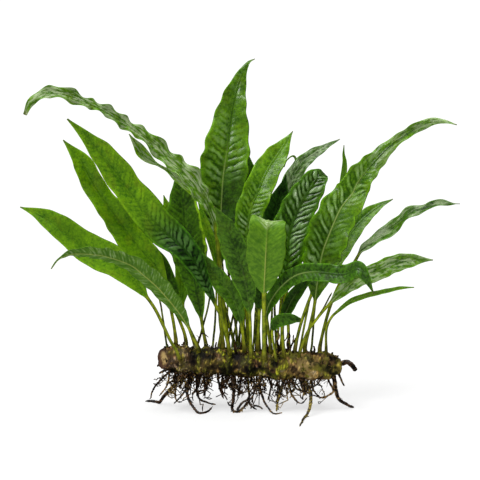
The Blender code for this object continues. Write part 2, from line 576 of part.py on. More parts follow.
def main():
    """Clear the scene and build the plant."""
    for thing in list(bpy.data.objects):
        bpy.data.objects.remove(thing)
    collection = bpy.data.collections.new("java_fern")
    bpy.context.scene.collection.children.link(collection)
    plant = bpy.data.objects.new("plant", None)
    plant.location = SHIFT
    collection.objects.link(plant)

    leaf_green = material("leaf_green", (0.055, 0.190, 0.008), 0.35)
    young_green = material("young_green", (0.150, 0.330, 0.020), 0.40)
    bark = material("rhizome_brown", (0.110, 0.075, 0.030), 0.80)
    root_brown = material("root_brown", (0.045, 0.026, 0.012), 0.80)

    path = Path([seen(*place) for place in RHIZOME_ROUTE])
    mesh = rhizome_mesh(path)
    add("rhizome", mesh, bark, collection, plant)
    stem = Stem(mesh, path)

    young = ("leaf_front_light", "leaf_young_centre_left", "leaf_small_behind_left")
    for leaf in LEAVES:
        finish = young_green if leaf["name"] in young else leaf_green
        add(leaf["name"], leaf_mesh(stem, **leaf), finish, collection, plant)
    for root in ROOTS:
        add(root["name"], root_curve(stem, **root), root_brown, collection, plant)
    add(HORN["name"], horn_curve(stem), root_brown, collection, plant)


main()
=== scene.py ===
# %% [markdown]
# # A bare java fern, from its creeping stem to the tips of its roots
#
# A java fern is one creeping stem, the rhizome, with strap leaves growing up from it and wiry roots
# growing down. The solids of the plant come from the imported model. This lesson grows a finer skin over
# each of them: quilted leaves, a lumpy rhizome, knobbly roots, and the small roots and scales between.
#
# Everything is in metres, +Z is up, and the plant stands on its root tips at Z = 0.

import math

import bmesh
import bpy
import numpy as np
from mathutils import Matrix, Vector
from mathutils.bvhtree import BVHTree


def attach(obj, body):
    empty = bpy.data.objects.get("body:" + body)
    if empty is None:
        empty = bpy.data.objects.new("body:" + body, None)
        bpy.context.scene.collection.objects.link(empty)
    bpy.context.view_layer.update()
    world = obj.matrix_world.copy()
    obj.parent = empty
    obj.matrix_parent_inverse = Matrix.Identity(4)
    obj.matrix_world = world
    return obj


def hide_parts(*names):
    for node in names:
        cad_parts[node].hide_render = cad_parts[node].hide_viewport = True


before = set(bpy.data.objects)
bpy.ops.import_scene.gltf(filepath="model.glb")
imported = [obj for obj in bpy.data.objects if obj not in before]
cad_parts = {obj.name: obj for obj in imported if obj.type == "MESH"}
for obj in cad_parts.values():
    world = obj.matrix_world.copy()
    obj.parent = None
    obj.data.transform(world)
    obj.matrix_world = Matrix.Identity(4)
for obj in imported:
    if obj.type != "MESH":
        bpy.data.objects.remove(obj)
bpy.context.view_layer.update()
MM = 0.001

# %% [markdown]
# ## Camera
#
# The plant is seen from the front, ten degrees from above, from 0.9 m away. The lens is worked out from
# the width of the picture at the plant, so that a millimetre here is a millimetre in the route tables.

# %% Camera
VIEW_DISTANCE = 0.900
VIEW_TILT = math.radians(10.0)
VIEW_HEIGHT = 0.0867
VIEW_WIDTH = 0.240
FLOOR_LINE = 0.084
SENSOR = 36.0
# The plant's own middle, which the solids put over the origin
SHIFT = np.array([-0.00045, 0.00449, 0.0])

TOWARD = np.array([0.0, -math.cos(VIEW_TILT), math.sin(VIEW_TILT)])
PICTURE_UP = np.array([0.0, math.sin(VIEW_TILT), math.cos(VIEW_TILT)])
TARGET = np.array([0.0, 0.0, VIEW_HEIGHT])

scene = bpy.context.scene
camera = bpy.data.objects.new("camera", bpy.data.cameras.new("camera"))
scene.collection.objects.link(camera)
camera.location = TARGET + SHIFT + TOWARD * VIEW_DISTANCE
camera.rotation_euler = (math.pi / 2 - VIEW_TILT, 0.0, 0.0)
camera.data.sensor_width = SENSOR
camera.data.lens = SENSOR * VIEW_DISTANCE / VIEW_WIDTH
camera.data.clip_start = 0.01
scene.camera = camera
print("lens in mm:", round(camera.data.lens, 1))

# %% [markdown]
# ## Light and floor
#
# A plant like this is shown on white with almost no shadow. A white floor fades into the white sky. A wide
# sun from the upper left makes the soft shadow, and large soft panels make the long highlights on the
# ridges of the leaves. The sky is white for the eye, dimmer as light on the plant, and dimmer still in
# reflections, and the floor stays out of them, so that the greens stay deep and the hollows dark.

# %% Light
SKY_LIGHT = 0.42
SKY_IN_REFLECTIONS = 0.06
SUN_POWER = 2.3
SUN_SPREAD = math.radians(35.0)
BLADES_MIDDLE = (0.0, 0.0, 0.09)


def lamp(kind, name, place, aim, **facts):
    """A lamp at a place that shines towards a point."""
    made = bpy.data.lights.new(name, kind)
    for key, value in facts.items():
        setattr(made, key, value)
    held = bpy.data.objects.new(name, made)
    scene.collection.objects.link(held)
    held.location = place
    held.rotation_euler = (Vector(place) - Vector(aim)).to_track_quat("Z", "Y").to_euler()


lamp("SUN", "key_sun", (-0.50, -0.28, 1.2), (0.0, 0.0, 0.0), energy=SUN_POWER, angle=SUN_SPREAD)
lamp("AREA", "left_panel", (-0.65, -0.60, 0.60), BLADES_MIDDLE, shape="RECTANGLE", size=0.30, size_y=0.30,
     energy=2.6)
lamp("AREA", "top_panel", (0.20, 0.10, 0.85), BLADES_MIDDLE, shape="RECTANGLE", size=0.35, size_y=0.30,
     energy=2.8)
world = bpy.data.worlds.new("white_room")
world.use_nodes = True
scene.world = world
scene.view_settings.view_transform = "Standard"

# %% [markdown]
# ## A short way to write nodes
#
# Materials and Geometry Nodes share their maths nodes, so one small class serves both. It wraps a
# socket, and a sum written in Python adds the nodes for it. Every other node comes from one method that
# takes the node's type, its settings, and what goes into its sockets. A socket goes by its name, or by
# its place in the list where a node has two sockets of one name.


# %% Nodes as Python sums
class Field:
    """One number, vector or colour at every point: a socket that can be used in Python sums."""

    def __init__(self, maker, socket):
        self.maker = maker
        self.socket = socket

    def maths(self, operation, *others):
        return self.maker.out("ShaderNodeMath", {"operation": operation}, dict(enumerate((self, *others))))

    def __add__(self, other):
        return self.maths("ADD", other)

    def __radd__(self, other):
        return self + other

    def __sub__(self, other):
        return self.maths("SUBTRACT", other)

    def __rsub__(self, other):
        return self * -1.0 + other

    def __mul__(self, other):
        return self.maths("MULTIPLY", other)

    def __rmul__(self, other):
        return self * other

    def __truediv__(self, other):
        return self.maths("DIVIDE", other)

    def __pow__(self, power):
        return self.maths("POWER", power)

    def __abs__(self):
        return self.maths("ABSOLUTE")

    def sine(self):
        return self.maths("SINE")

    def whole(self):
        return self.maths("FLOOR")

    def above(self, limit):
        return self.maths("GREATER_THAN", limit)

    def at_least(self, limit):
        return self.maths("MAXIMUM", limit)

    def at_most(self, limit):
        return self.maths("MINIMUM", limit)

    def rise(self, low, high):
        """0 below low, 1 above high, and smooth between."""
        return self.maker.out("ShaderNodeMapRange", {"interpolation_type": "SMOOTHSTEP"},
                              {"Value": self, "From Min": low, "From Max": high})

    def hump(self, width):
        """1 where the number is 0, falling off on both sides over this width."""
        return (self * self * (-1.0 / width ** 2)).maths("EXPONENT")

    def toward(self, share, colour):
        """This colour, mixed with another by a share."""
        return self.maker.mixed(share, self, colour)


def linear(red, green, blue):
    """A colour as nodes want it, from its values on a screen, 0 to 255."""
    shares = [value / 255.0 for value in (red, green, blue)]
    return (*(v / 12.92 if v <= 0.04045 else ((v + 0.055) / 1.055) ** 2.4 for v in shares), 1.0)


# %% The maker of nodes
class Maker:
    """Makes the nodes of one tree, for a material or for geometry."""

    def __init__(self, tree):
        self.tree = tree

    def put(self, socket, value):
        """Puts a value or a link into a socket."""
        value = value.socket if isinstance(value, Field) else value
        if isinstance(value, bpy.types.NodeSocket):
            self.tree.links.new(value, socket)
        else:
            socket.default_value = value

    def node(self, kind, settings=None, inputs=None):
        """Any node, from its type, its settings and what goes into its sockets."""
        made = self.tree.nodes.new(kind)
        for name, value in (settings or {}).items():
            setattr(made, name, value)
        for key, value in (inputs or {}).items():
            self.put(made.inputs[key], value)
        return made

    def out(self, kind, settings=None, inputs=None, output=0):
        """One output of a new node, the first where no name is given."""
        return Field(self, self.node(kind, settings, inputs).outputs[output])

    def noise(self, vector, scale, detail=2.0, roughness=0.5, output=0):
        return self.out("ShaderNodeTexNoise", None,
                        {"Vector": vector, "Scale": scale, "Detail": detail, "Roughness": roughness}, output)

    def vector(self, x, y, z):
        return self.out("ShaderNodeCombineXYZ", None, {"X": x, "Y": y, "Z": z})

    def split(self, vector):
        """The three numbers of a vector."""
        parts = self.node("ShaderNodeSeparateXYZ", None, {"Vector": vector})
        return [Field(self, socket) for socket in parts.outputs]

    def scaled(self, vector, size):
        return self.out("ShaderNodeVectorMath", {"operation": "SCALE"}, {"Vector": vector, "Scale": size})

    def added(self, first, second):
        return self.out("ShaderNodeVectorMath", {"operation": "ADD"}, {0: first, 1: second})

    def mixed(self, factor, first, second):
        """A colour between two colours, which may be fields or three values on a screen."""
        pair = [linear(*colour) if isinstance(colour, tuple) and len(colour) == 3 else colour
                for colour in (first, second)]
        return self.out("ShaderNodeMix", {"data_type": "RGBA"},
                        {"Factor": factor, "A": pair[0], "B": pair[1]}, "Result")


class Finish(Maker):
    """A material with a Principled shader, and the nodes that feed it."""

    def __init__(self, name):
        self.material = bpy.data.materials.new(name)
        self.material.use_nodes = True
        self.material.node_tree.nodes.clear()
        super().__init__(self.material.node_tree)
        self.shader = self.node("ShaderNodeBsdfPrincipled")
        self.node("ShaderNodeOutputMaterial", None, {"Surface": self.shader.outputs["BSDF"]})
        self.here = self.out("ShaderNodeTexCoord", output="Object")

    def read(self, key):
        """A fact that the mesh carries."""
        return self.out("ShaderNodeAttribute", {"attribute_name": key}, output="Fac")

    def bump(self, height, strength, distance):
        """Small bumps that only the light sees."""
        return self.out("ShaderNodeBump", None,
                        {"Strength": strength, "Distance": distance, "Height": height})

    def feed(self, **values):
        """Feeds the shader's sockets, named with underscores for spaces."""
        for name, value in values.items():
            self.put(self.shader.inputs[name.replace("_", " ")], value)


# %% The sky and the floor
room = Maker(world.node_tree)
world.node_tree.nodes.clear()
ray = room.node("ShaderNodeLightPath")
by_eye, by_gloss = Field(room, ray.outputs["Is Camera Ray"]), Field(room, ray.outputs["Is Glossy Ray"])
strength = by_eye * (1.1 - SKY_LIGHT) - by_gloss * (SKY_LIGHT - SKY_IN_REFLECTIONS) + SKY_LIGHT
sky = room.node("ShaderNodeBackground", None, {"Color": (1.0, 1.0, 1.0, 1.0), "Strength": strength})
room.node("ShaderNodeOutputWorld", None, {"Surface": sky.outputs["Background"]})

# The floor glows a little, so that the shadow on it stays as faint as on a lit table
FLOOR_GLOW = 0.60
FLOOR_REACH = 0.5
floor_paint = Finish("floor_paint")
middle = floor_paint.out("ShaderNodeVectorMath", {"operation": "LENGTH"}, {"Vector": floor_paint.here},
                         "Value")
specks = floor_paint.mixed(floor_paint.noise(floor_paint.here, 3.0), (0.34, 0.34, 0.34, 1.0),
                           (0.36, 0.36, 0.36, 1.0))
floor_paint.feed(Base_Color=specks, Roughness=0.9, Alpha=1.0 - middle.rise(0.18, 0.45),
                 Emission_Color=(1.0, 1.0, 1.0, 1.0), Emission_Strength=FLOOR_GLOW)
floor_mesh = bpy.data.meshes.new("floor")
corners = [(FLOOR_REACH * x, FLOOR_REACH * y, 0.0) for x, y in ((-1, -1), (1, -1), (1, 1), (-1, 1))]
floor_mesh.from_pydata(corners, [], [(0, 1, 2, 3)])
floor_mesh.materials.append(floor_paint.material)
floor = bpy.data.objects.new("floor", floor_mesh)
scene.collection.objects.link(floor)
floor.visible_glossy = False
print("floor and light are ready")

# %% [markdown]
# ## From a place in the front view to a place in space
#
# Every route is written as it looks from the front, in millimetres: how far across, how high above the
# floor line, and how far back. With None for the depth, the point lies on the floor.


# %% Places and paths
def seen(across, height, back):
    """The point in space at this depth that shows at this place in the front view."""
    eye = TARGET + TOWARD * VIEW_DISTANCE
    on_picture = TARGET + np.array([across * MM, 0.0, 0.0]) + PICTURE_UP * (height * MM - FLOOR_LINE)
    ray = on_picture - eye
    if back is None:
        return eye + ray * (-eye[2] / ray[2]) + SHIFT
    return eye + ray * ((back * MM - eye[1]) / ray[1]) + SHIFT


def smooth(low, high, value):
    """0 below low, 1 above high, and smooth between."""
    share = np.clip((value - low) / (high - low), 0.0, 1.0)
    return share * share * (3.0 - 2.0 * share)


def unit(vectors):
    """The same directions with length 1."""
    return vectors / np.linalg.norm(vectors, axis=-1, keepdims=True)


def between(before, start, end, after, t):
    """A smooth way from start to end, with the points before and after them."""
    return 0.5 * (2.0 * start + (end - before) * t
                  + (2.0 * before - 5.0 * start + 4.0 * end - after) * t ** 2
                  + (3.0 * start - before - 3.0 * end + after) * t ** 3)


class Path:
    """A smooth curve that can be read at any share of its length, many shares at once."""

    SPLITS = 12
    REACH = 0.012
    STEPS = 60
    FACING_STEP = 33

    def __init__(self, points):
        points = [np.array(point) for point in points]
        ends = [points[0] * 2.0 - points[1], *points, points[-1] * 2.0 - points[-2]]
        dense = [between(*four, t) for four in zip(ends, ends[1:], ends[2:], ends[3:])
                 for t in np.arange(self.SPLITS) / self.SPLITS]
        self.dense = np.array(dense + [points[-1]])
        steps = np.linalg.norm(np.diff(self.dense, axis=0), axis=1)
        self.lengths = np.concatenate([[0.0], np.cumsum(steps)])
        self.length = self.lengths[-1]

    def at(self, share):
        wanted = np.clip(share, 0.0, 1.0) * self.length
        return np.stack([np.interp(wanted, self.lengths, self.dense[:, k]) for k in range(3)], axis=-1)

    def direction(self, share):
        return unit(self.at(share + self.REACH) - self.at(share - self.REACH))

    def facing(self, share, toward):
        """A direction that faces the viewer in mid-leaf, carried both ways along the curve without twist."""
        carried = np.zeros((self.STEPS + 1, 3))
        for steps in (range(self.FACING_STEP, self.STEPS + 1), range(self.FACING_STEP, -1, -1)):
            last = toward
            for step in steps:
                along = self.direction(np.array(step / self.STEPS))
                last = unit(last - along * (along @ last))
                carried[step] = last
        place = np.clip(share, 0.0, 1.0) * self.STEPS
        read = [np.interp(place, np.arange(self.STEPS + 1), carried[:, k]) for k in range(3)]
        front = np.stack(read, axis=-1)
        along = self.direction(share)
        return unit(front - along * np.sum(along * front, axis=-1, keepdims=True)), along


LINE_POINTS = 40


def places(route):
    """The points in space of a route in the front view."""
    return [seen(*place) for place in route]


def line_through(points):
    """Points at even steps on a smooth curve."""
    return Path(points).at(np.linspace(0.0, 1.0, LINE_POINTS))


# %% [markdown]
# ## The rhizome's skin, as a place to grow from
#
# Leaves and roots start on the skin of the rhizome's solid. A ray shot at it finds the exact place.

# %% The rhizome's skin
RHIZOME_ROUTE = [(-38.5, 25.0, -1.0), (-25.0, 24.6, 0.5), (-8.0, 23.6, 0.0), (8.0, 22.6, -0.5),
                 (24.0, 21.9, 0.0), (38.0, 21.4, 0.5), (49.0, 21.2, 0.0)]
RHIZOME_RADIUS = 0.0061
# The skin of the rhizome hangs this much lower than the middle of its solid, as it does in the view
SKIN_DROP = [0.0006, 0.0011, 0.0011, 0.0010, 0.0011, 0.0010, 0.0008]
stem_path = Path(places(RHIZOME_ROUTE))
skin_path = Path([seen(*place) - np.array([0.0, 0.0, drop]) for place, drop in zip(RHIZOME_ROUTE, SKIN_DROP)])
stem_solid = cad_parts["rhizome"].data
stem_tree = BVHTree.FromPolygons([v.co for v in stem_solid.vertices],
                                 [tuple(p.vertices) for p in stem_solid.polygons])


def outward(angle):
    """Straight out of the rhizome: 0 degrees is up, -90 the front and 180 the underside."""
    return np.array([0.0, math.sin(math.radians(angle)), math.cos(math.radians(angle))])


def on_stem(across, out):
    """Where something that grows straight out of the rhizome leaves its skin."""
    shares = np.linspace(0.0, 1.0, 400)
    axis = stem_path.at(shares)
    centre = axis[np.argmin(np.abs(axis[:, 0] - SHIFT[0] - across * MM))]
    far = 0.030
    hit = stem_tree.ray_cast(Vector(centre + out * far), Vector(-out), 2.0 * far)[0]
    return np.array(hit)


print("rhizome length in mm:", round(stem_path.length / MM, 1))

# %% [markdown]
# ## The thirty leaves
#
# Each leaf has its place across the rhizome in mm, its angle round it, and the width of its blade in mm at
# even steps. Then come its form and its looks, and last the route of its midrib from stalk to tip.
#
# - stalk is the stalk's share of the length, thick the stalk's size next to most, and turn how far the
#   upper face swings from the viewer to the leaf's right, in degrees at base and tip.
# - ripple is the height in mm of its long waves, and fold how far the halves rise, like a gutter. ruffle
#   gives the height and length in mm of the small waves along the margin. cup hollows the middle.
# - quilt is how high the swellings between the side veins stand, spacing the step from vein to vein in mm,
#   and lean how far the veins lean to the tip. From smooth_from on the blade is hardly quilted.
# - tone runs from dark (0) to young yellow-green (1), mottle is how blotched the green is, rib how much
#   paler the midrib is than the blade, and right_margin how much brighter the right margin is painted,
#   as painted light.
# - sheen is a painted grey sheen on top of the swellings, gleam and tip_gleam are long pale streaks of
#   painted highlight on the whole blade and near its tip, and from shine_from on the light leaf in front has
#   a painted shine where it bends over.
# - low_quilt, low_tone and low_sheen hold at the base and fade out over low_reach; a low_tone below tone
#   darkens the base of the blade as painted shade. plain_right makes the right half smooth low down, and
#   plain_dark darkens it there.

# %% How most leaves are
MOST_LEAVES = dict(
    turn=(0, 0), thick=1.0, ripple=0.0, waves=4.0, fold=0.15, cup=0.0, spacing=3.1, lean=0.8,
    smooth_from=0.85, mottle=0.8, right_margin=1.0, sheen=0.0, gleam=0.0, tip_gleam=0.0, shine_from=2.0,
    low_reach=(0.22, 0.60), plain_right=0.0, plain_dark=0.6)


def leaf_row(name, across, angle, widths, **facts):
    """A row of the table, filled in with how most leaves are."""
    low = {"low_" + key: facts.get(key, 0.0) for key in ("quilt", "tone", "sheen")}
    return dict(MOST_LEAVES, name=name, across=across, angle=angle, widths=np.array(widths, float),
                **{**low, **facts})


# %% Leaves on the left
LEAVES = [
    leaf_row("far_left_wavy", -8.5, 0, (3, 11.5, 10, 7.5, 6, 7, 2), stalk=0.33, turn=(28, 43), ripple=1,
        waves=5, quilt=0.28, tone=0.44, gleam=0.6, ruffle=(1.1, 10.5), rib=0.2,
        route=[(-10, 44, 0), (-10.5, 60, 0), (-11, 77, -2.5), (-13.5, 94, -5), (-22.5, 111.5, -6.5),
        (-37.5, 126.5, -9), (-52.5, 139, -13), (-68, 148.7, -19.5), (-85, 156, -27.5), (-97, 157.5, -34),
        (-104.5, 153, -37.5), (-107.5, 146.5, -40.5)]),
    leaf_row("spoon_tipped", -6, 32, (2.5, 5, 6, 5, 1.8, 7, 0.5), stalk=0.45, turn=(30, 35), quilt=0.2,
        tone=1, gleam=0.7, ruffle=(0.1, 9), rib=0.2,
        route=[(-7.5, 44, 5), (-9.5, 60, 4.5), (-10.5, 80, 3), (-13, 95, 2.5), (-20, 105.5, 1.5),
        (-25, 110, 0), (-31, 114.5, -2.5), (-35.7, 118.5, -4), (-40, 121, -6.5), (-45, 124, -9),
        (-50, 128.5, -11.5), (-53, 133, -14.5), (-55.5, 137, -17)]),
    leaf_row("broad_left", -5.5, -38, (2.2, 11, 17.8, 17, 13, 0.5), stalk=0.18, turn=(25, 30), ripple=0.6,
        quilt=0.26, low_quilt=0.45, tone=0.86, low_tone=0, low_sheen=0.35, low_reach=(0.32, 0.6),
        ruffle=(0.3, 19), rib=-0.25, mottle=0.95,
        route=[(-9, 44, -7), (-13, 53, -9), (-17.3, 62, -11), (-22.6, 72.8, -12.5), (-28.6, 80.2, -13),
        (-37.8, 88.2, -13), (-48.7, 99.4, -14.5), (-57.2, 111, -15.5), (-62.5, 118.2, -17),
        (-69.5, 126.7, -19.5), (-78.5, 137.2, -23.5), (-86.5, 144.5, -26)]),
    leaf_row("left_behind_broad", -27.5, 35, (2, 6.5, 9.5, 10, 7, 0.5), stalk=0.16, turn=(25, 25),
        quilt=0.3, tone=0.16, ruffle=(0.2, 12), rib=-0.3, mottle=1.1,
        route=[(-28, 38, 6), (-30.6, 45, 8), (-33, 54, 9), (-36.5, 64, 9.5), (-41, 72, 9), (-47.5, 80, 8.5),
        (-54, 89, 8), (-59, 96, 7.5)]),
    leaf_row("middle_left", -32.5, 15, (3, 11.5, 15.5, 13.3, 11.3, 10, 0.5), stalk=0.24, turn=(10, 15),
        ripple=0.7, quilt=0.18, tone=0.82, low_tone=0.8, ruffle=(0.3, 12), rib=-0.35, mottle=0.9,
        route=[(-33.5, 44, 4), (-36, 55.5, 4), (-39, 64, 4), (-43.2, 72.2, 2.5), (-49.2, 78.5, 2),
        (-56, 87.2, 1.5), (-61, 94, 0), (-66.7, 101.7, -1.5), (-72, 109.2, -2.5), (-76.7, 117.7, -4),
        (-80, 124.2, -5), (-84, 129, -6), (-88.5, 134, -6.5)]),
    leaf_row("low_left", -30.5, -75, (2.5, 12.5, 16.5, 14.5, 10.5, 0.5), stalk=0.33, turn=(15, 25),
        quilt=0.1, tone=0.78, ruffle=(0.12, 12), rib=-0.1, mottle=0.9,
        route=[(-32, 29, -11.5), (-35, 34, -13), (-38.5, 41.5, -14.5), (-42.5, 49.5, -15.5), (-47, 56, -16),
        (-54, 65, -17), (-61.5, 72, -18), (-70.2, 76.5, -19.5), (-77.7, 80.5, -21), (-85.5, 86.7, -23.5),
        (-92.2, 91.7, -26), (-101, 97, -28.5), (-110, 100.5, -31)]),
    leaf_row("front_arching_left", -21, -35, (2.5, 10.5, 13, 11, 8.5, 0.5), stalk=0.15, turn=(136, 144),
        quilt=0.3, tone=0.3, ruffle=(0.35, 9), rib=0.8, sheen=0.4, mottle=0.8,
        route=[(-25, 39, -10.5), (-28.7, 45.6, -14.5), (-34, 52.5, -18), (-41, 60.5, -23.5),
        (-48, 66.7, -27.5), (-55, 72, -31), (-66.5, 76, -36.5), (-74, 77.2, -40.5), (-82, 77.5, -43),
        (-87, 76.5, -45.5), (-91, 74, -47.5), (-94.5, 69.5, -49.5)]),
    leaf_row("upright_behind", -17.5, 50, (2, 8, 14, 19.5, 18.5, 12.5, 0.5), stalk=0.15, turn=(-5, -10),
        quilt=0.3, tone=0.22, ruffle=(0.2, 9), rib=-0.8, right_margin=3, mottle=1.2,
        route=[(-18.5, 39, 8.5), (-20, 49, 9.5), (-21.8, 58, 10.3), (-23.2, 67, 11), (-25.2, 78, 12),
        (-27.5, 89, 13), (-28.8, 104, 14.5), (-31, 114, 15.5), (-33, 118.5, 16)]),
    leaf_row("small_behind_left", -23, 50, (2, 7.5, 9.5, 9.5, 8.5, 0.5), stalk=0.27, quilt=0.1, tone=0.75,
        ruffle=(0.1, 8), rib=0,
        route=[(-25.8, 41, 10), (-28.6, 51, 13.5), (-28.8, 60, 16), (-28, 71, 18.5), (-30.5, 86, 21),
        (-35.5, 98, 22.5), (-38.2, 106.5, 23.5)]),
    leaf_row("young_centre_left", -10.5, 48, (1.5, 3.2, 4.2, 4, 0.5), stalk=0.45, quilt=0.1, tone=0.85,
        ruffle=(0.1, 8), rib=0, mottle=1.1,
        route=[(-8.8, 44, 10), (-9.8, 60, 10), (-11.5, 71, 9), (-13.3, 80, 8.5), (-15.8, 88, 8),
        (-18.3, 95.5, 8), (-21, 103.5, 8.5)]),
]

# %% Leaves in the middle
LEAVES += [
    leaf_row("tall_centre", -2.5, 48, (2, 16, 25, 22, 12, 0.5), stalk=0.27, turn=(0, -5), ripple=0.8,
        quilt=1.1, tone=0.42, low_tone=0.3, plain_right=1, sheen=1.1, low_sheen=0.75, ruffle=(0.35, 11),
        rib=0.7, lean=0.5, spacing=3.7, smooth_from=0.52, mottle=1.2,
        route=[(-7, 48, 12.5), (-9.8, 60, 14.5), (-10.6, 72, 16.5), (-10.2, 86, 19), (-9.5, 98, 21),
        (-8.5, 115, 23), (-6.5, 129, 24.5), (-4.5, 145, 27.5), (-2.5, 156, 28.5), (0.5, 166, 30.5),
        (4, 172.5, 32), (7.5, 174.5, 33)]),
    leaf_row("behind_tall", 4, 55, (2, 9, 14, 14, 11, 0.5), stalk=0.3, quilt=0.3, tone=0.1, ruffle=(0.2, 9),
        rib=0,
        route=[(3, 55, 18), (2, 80, 26), (2.5, 105, 34), (2.5, 120, 37.5), (1, 133, 41.5)]),
    leaf_row("centre_right", 1.5, 15, (2, 11.5, 14.8, 14.5, 11.5, 0.5), stalk=0.37, turn=(-5, -15),
        ripple=0.5, quilt=0.8, tone=0.56, low_tone=0.36, sheen=0.55, low_sheen=1, ruffle=(0.25, 10),
        rib=-0.1, lean=0.7, spacing=2.6, smooth_from=0.44, mottle=1.2,
        route=[(2, 50, 5), (3, 75, 8), (4.5, 95.5, 10.5), (9, 108, 11.5), (13.5, 118.5, 13),
        (20, 128.5, 15.5), (26.5, 138.5, 18)]),
    leaf_row("dark_beside_centre", 12, 45, (2, 9, 12, 11, 0.5), stalk=0.35, quilt=0.3, tone=0,
        ruffle=(0.2, 9), rib=0,
        route=[(12.5, 60, 14.5), (15, 85, 19.5), (18.5, 100, 22), (22, 112, 23.5), (23, 117, 24)]),
    leaf_row("low_centre_left", 2, -22, (2, 7, 9.5, 9, 6.5, 0.5), stalk=0.2, quilt=0.28, tone=0.26,
        sheen=0.2, ruffle=(0.3, 9), rib=0.1, mottle=1.15,
        route=[(0.8, 41, -3), (-0.8, 48.5, -4.5), (-3.8, 55.8, -5), (-8.3, 61.6, -6), (-13.5, 67.4, -6),
        (-19.5, 74.5, -6), (-26, 82, -5)]),
    leaf_row("front_dark", 5.5, -48, (2, 8, 13.5, 14, 10, 0.5), stalk=0.27, turn=(-10, -15), quilt=0.28,
        tone=0.22, sheen=0.15, ruffle=(0.3, 10), rib=0.1, mottle=1.2,
        route=[(5, 44, -10.5), (3.5, 59, -14.5), (0.5, 71.5, -17), (-3.5, 82.5, -19), (-8, 93, -21),
        (-13, 101, -23.5)]),
    leaf_row("front_light", 12, -50, (2, 9, 15.5, 18.5, 19, 18, 16, 10, 0.5), stalk=0.4, turn=(180, 180),
        fold=-0.1, thick=1.3, quilt=0.25, tone=0.56, ruffle=(0.2, 9), rib=0.2, cup=0.14, shine_from=0.6,
        route=[(12, 45, -14.5), (12, 59, -21), (12.5, 70, -24.5), (13, 80, -27.5), (13.5, 88, -28.5),
        (14, 93.5, -26.5), (14.5, 94, -19.5), (15, 90, -11.5)]),
    leaf_row("behind_front_light", 9, 12, (2, 7, 8, 6, 0.5), stalk=0.3, quilt=0.3, tone=0.1,
        ruffle=(0.2, 8), rib=0,
        route=[(9.5, 45, 1.5), (10, 60, -2.5), (11, 75, -5), (12, 88, -6.5)]),
    leaf_row("front_arching_right", 15.5, -20, (2.5, 8, 9, 8.8, 8.5, 0.5), stalk=0.17, turn=(3, -27),
        quilt=0.25, tone=0.12, sheen=0.1, ruffle=(0.3, 10), rib=0.6, mottle=1.15,
        route=[(14, 40, -6.5), (13.4, 48, -10.5), (16.2, 54.8, -15.5), (21.3, 61.3, -21), (28, 66.3, -26),
        (36, 68, -31), (44, 67.4, -36.5), (52, 66.8, -41.5), (59, 69.5, -45.5), (63, 65, -48),
        (67, 57, -50.5)]),
    leaf_row("under_arching", 22, -40, (2, 6, 7, 5, 0.5), stalk=0.3, turn=(-20, -30), quilt=0.2, tone=0.08,
        ruffle=(0.2, 9), rib=0.2,
        route=[(21.3, 42, -9), (24.3, 50.5, -13), (28, 57, -15.5), (33, 63, -18), (39, 69, -19.5)]),
    leaf_row("small_low", 18, -60, (1.2, 4.8, 6.6, 6, 2.5), stalk=0.46, turn=(-15, -20), thick=0.75,
        quilt=0.25, tone=0.14, ruffle=(0.1, 8), rib=0, mottle=1.1,
        route=[(16.2, 36, -12.5), (16.8, 40.5, -15.5), (19.2, 43.4, -18.5), (23, 44.6, -21),
        (27, 44.8, -23), (30.3, 44, -24.5)]),
]

